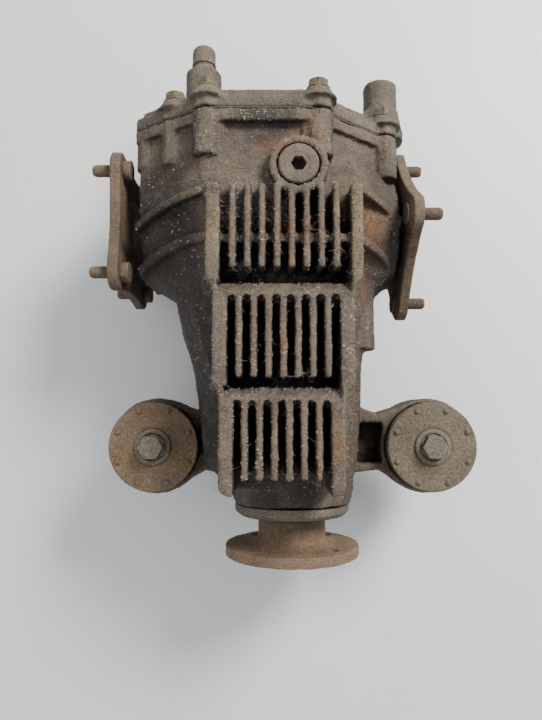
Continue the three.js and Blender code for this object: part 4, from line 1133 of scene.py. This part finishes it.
place(drain_plug(), "drain_plug", "housing", "casting", "plug")
place(filler_plug(), "filler_plug", "housing", "zinc_steel", "zinc")
place(breather(), "breather", "housing", "zinc_steel", "zinc")
place(rear_stud(), "rear_mount_stud", "housing", "zinc_steel", "olive_steel")
for number in range(1, 9):
    node = f"cover_bolt_{number}"
    place(cover_bolt(node), node, "housing", "zinc_steel", "zinc")
for side in ("left", "right"):
    parts = bush_parts(side)
    place(parts["shell"], f"bush_shell_{side}", "housing", "casting", "rusty")
    place(parts["rubber"], f"bush_rubber_{side}", "housing", "rubber", "rubber")
    place(parts["sleeve"], f"bush_sleeve_{side}", "housing", "bearing_steel", "rusty")
    plate_finish = "tan_plate" if side == "left" else "olive_plate"
    place(bush_plate(side), f"bush_plate_{side}", "housing", "rusty_steel", plate_finish)
    place(bush_bolt(side), f"bush_bolt_{side}", "housing", "rusty_steel", "olive_steel")

place(companion_flange(), "companion_flange", "pinion", "rusty_steel", "disc")
place(dust_deflector(), "dust_deflector", "pinion", "casting", "olive_steel")
place(pinion_nut(), "pinion_nut", "pinion", "rusty_steel", "rusty")

OUTPUTS = {"left": (-1, math.pi / 4, 6.5), "right": (1, 0.0, 3.4)}
for side, (sign, turn, head) in OUTPUTS.items():
    node = f"output_flange_{side}"
    low, high = local(node)
    face = low.x if sign < 0 else high.x
    skin = cast(f"{node}_forging", node, 0.9, output_extras(sign, face, turn), 3, 0.15, 0.0005, 0.0004)
    true_shaft(skin)
    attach(skin, f"{side}_output")
    made.append((skin, "rusty"))
    for number in range(1, 5):
        stud = f"{side}_stud_{number}"
        place(output_stud(f"{stud}_skin", stud, sign, head), stud, f"{side}_output", "rusty_steel", "rusty")

tree = scene_tree([piece for piece, _ in made])
for piece, finish in made:
    mark_open(piece, tree)
    piece.data.materials.clear()
    piece.data.materials.append(METALS[finish])

# pieces that stay as the frame has them
KEPT = {
    "casting": "inside",
    "rubber": "rubber",
    "bearing_steel": "steel",
    "gasket": "fibre",
}
stood_for = {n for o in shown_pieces() for n in o.get("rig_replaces", [])}
for subpart in frame["record"]["subparts"]:
    name = subpart["node"]
    if name in stood_for:
        continue
    node = frame["nodes"][name]
    node.data.materials.clear()
    node.data.materials.append(METALS[KEPT[subpart["material_slot"]]])

# ---------- dirt and fibres ----------
SEED = 20
ENCLOSED = 0.1  # below this openness a wall is inside the casing
RING_CLEARANCE = 6  # mm of the nose kept free of grit beside the spinning ring
FIN_DIRT_HEIGHT = 82  # mm above the axle, where the crust on the fins starts
FIBRE_COUNT = 420


def outside(spot, openness):
    return openness > ENCLOSED and spot.y > at(0, NOSE_END + RING_CLEARANCE, 0).y


def lies_there(spot, normal, openness, chance):
    if not outside(spot, openness):
        return False
    if normal.z > 0.35:
        return chance.random() < 0.75
    return openness < 0.7 and chance.random() < 0.30


def on_fin_tops(spot, normal, openness, chance):
    on_top = normal.z > 0.2 and spot.z > at(0, 0, FIN_DIRT_HEIGHT).z
    return on_top and outside(spot, openness) and chance.random() < 0.9


rng = random.Random(SEED)
road_dirt = dirt_material()
# name, piece it lies on, slot, grains, where they lie, smallest and largest radius in mm
DIRT = [
    ("road_grit", carrier, "casting", 6500, lies_there, 0.25, 1.3),
    ("fin_crust", carrier, "casting", 6500, on_fin_tops, 0.3, 1.25),
    ("cover_grit", cover, "cover_casting", 2200, lies_there, 0.22, 1.0),
]
for name, host, slot_name, count, wanted, small, large in DIRT:
    grains = lumps(name, surface_points(host, count, rng, wanted), rng, small, large)
    grains.data.materials.append(road_dirt)
    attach(grains, "housing")
fibres = lint(tree, rng, FIBRE_COUNT)
fibres.data.materials.append(lint_material())
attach(fibres, "housing")

# ---------- floor ------------------------------
bpy.ops.mesh.primitive_grid_add(x_subdivisions=20, y_subdivisions=20, size=6, location=(0, 0, -0.0005))
floor = bpy.context.object
floor.name = "floor"
floor.data.materials.append(floor_material())
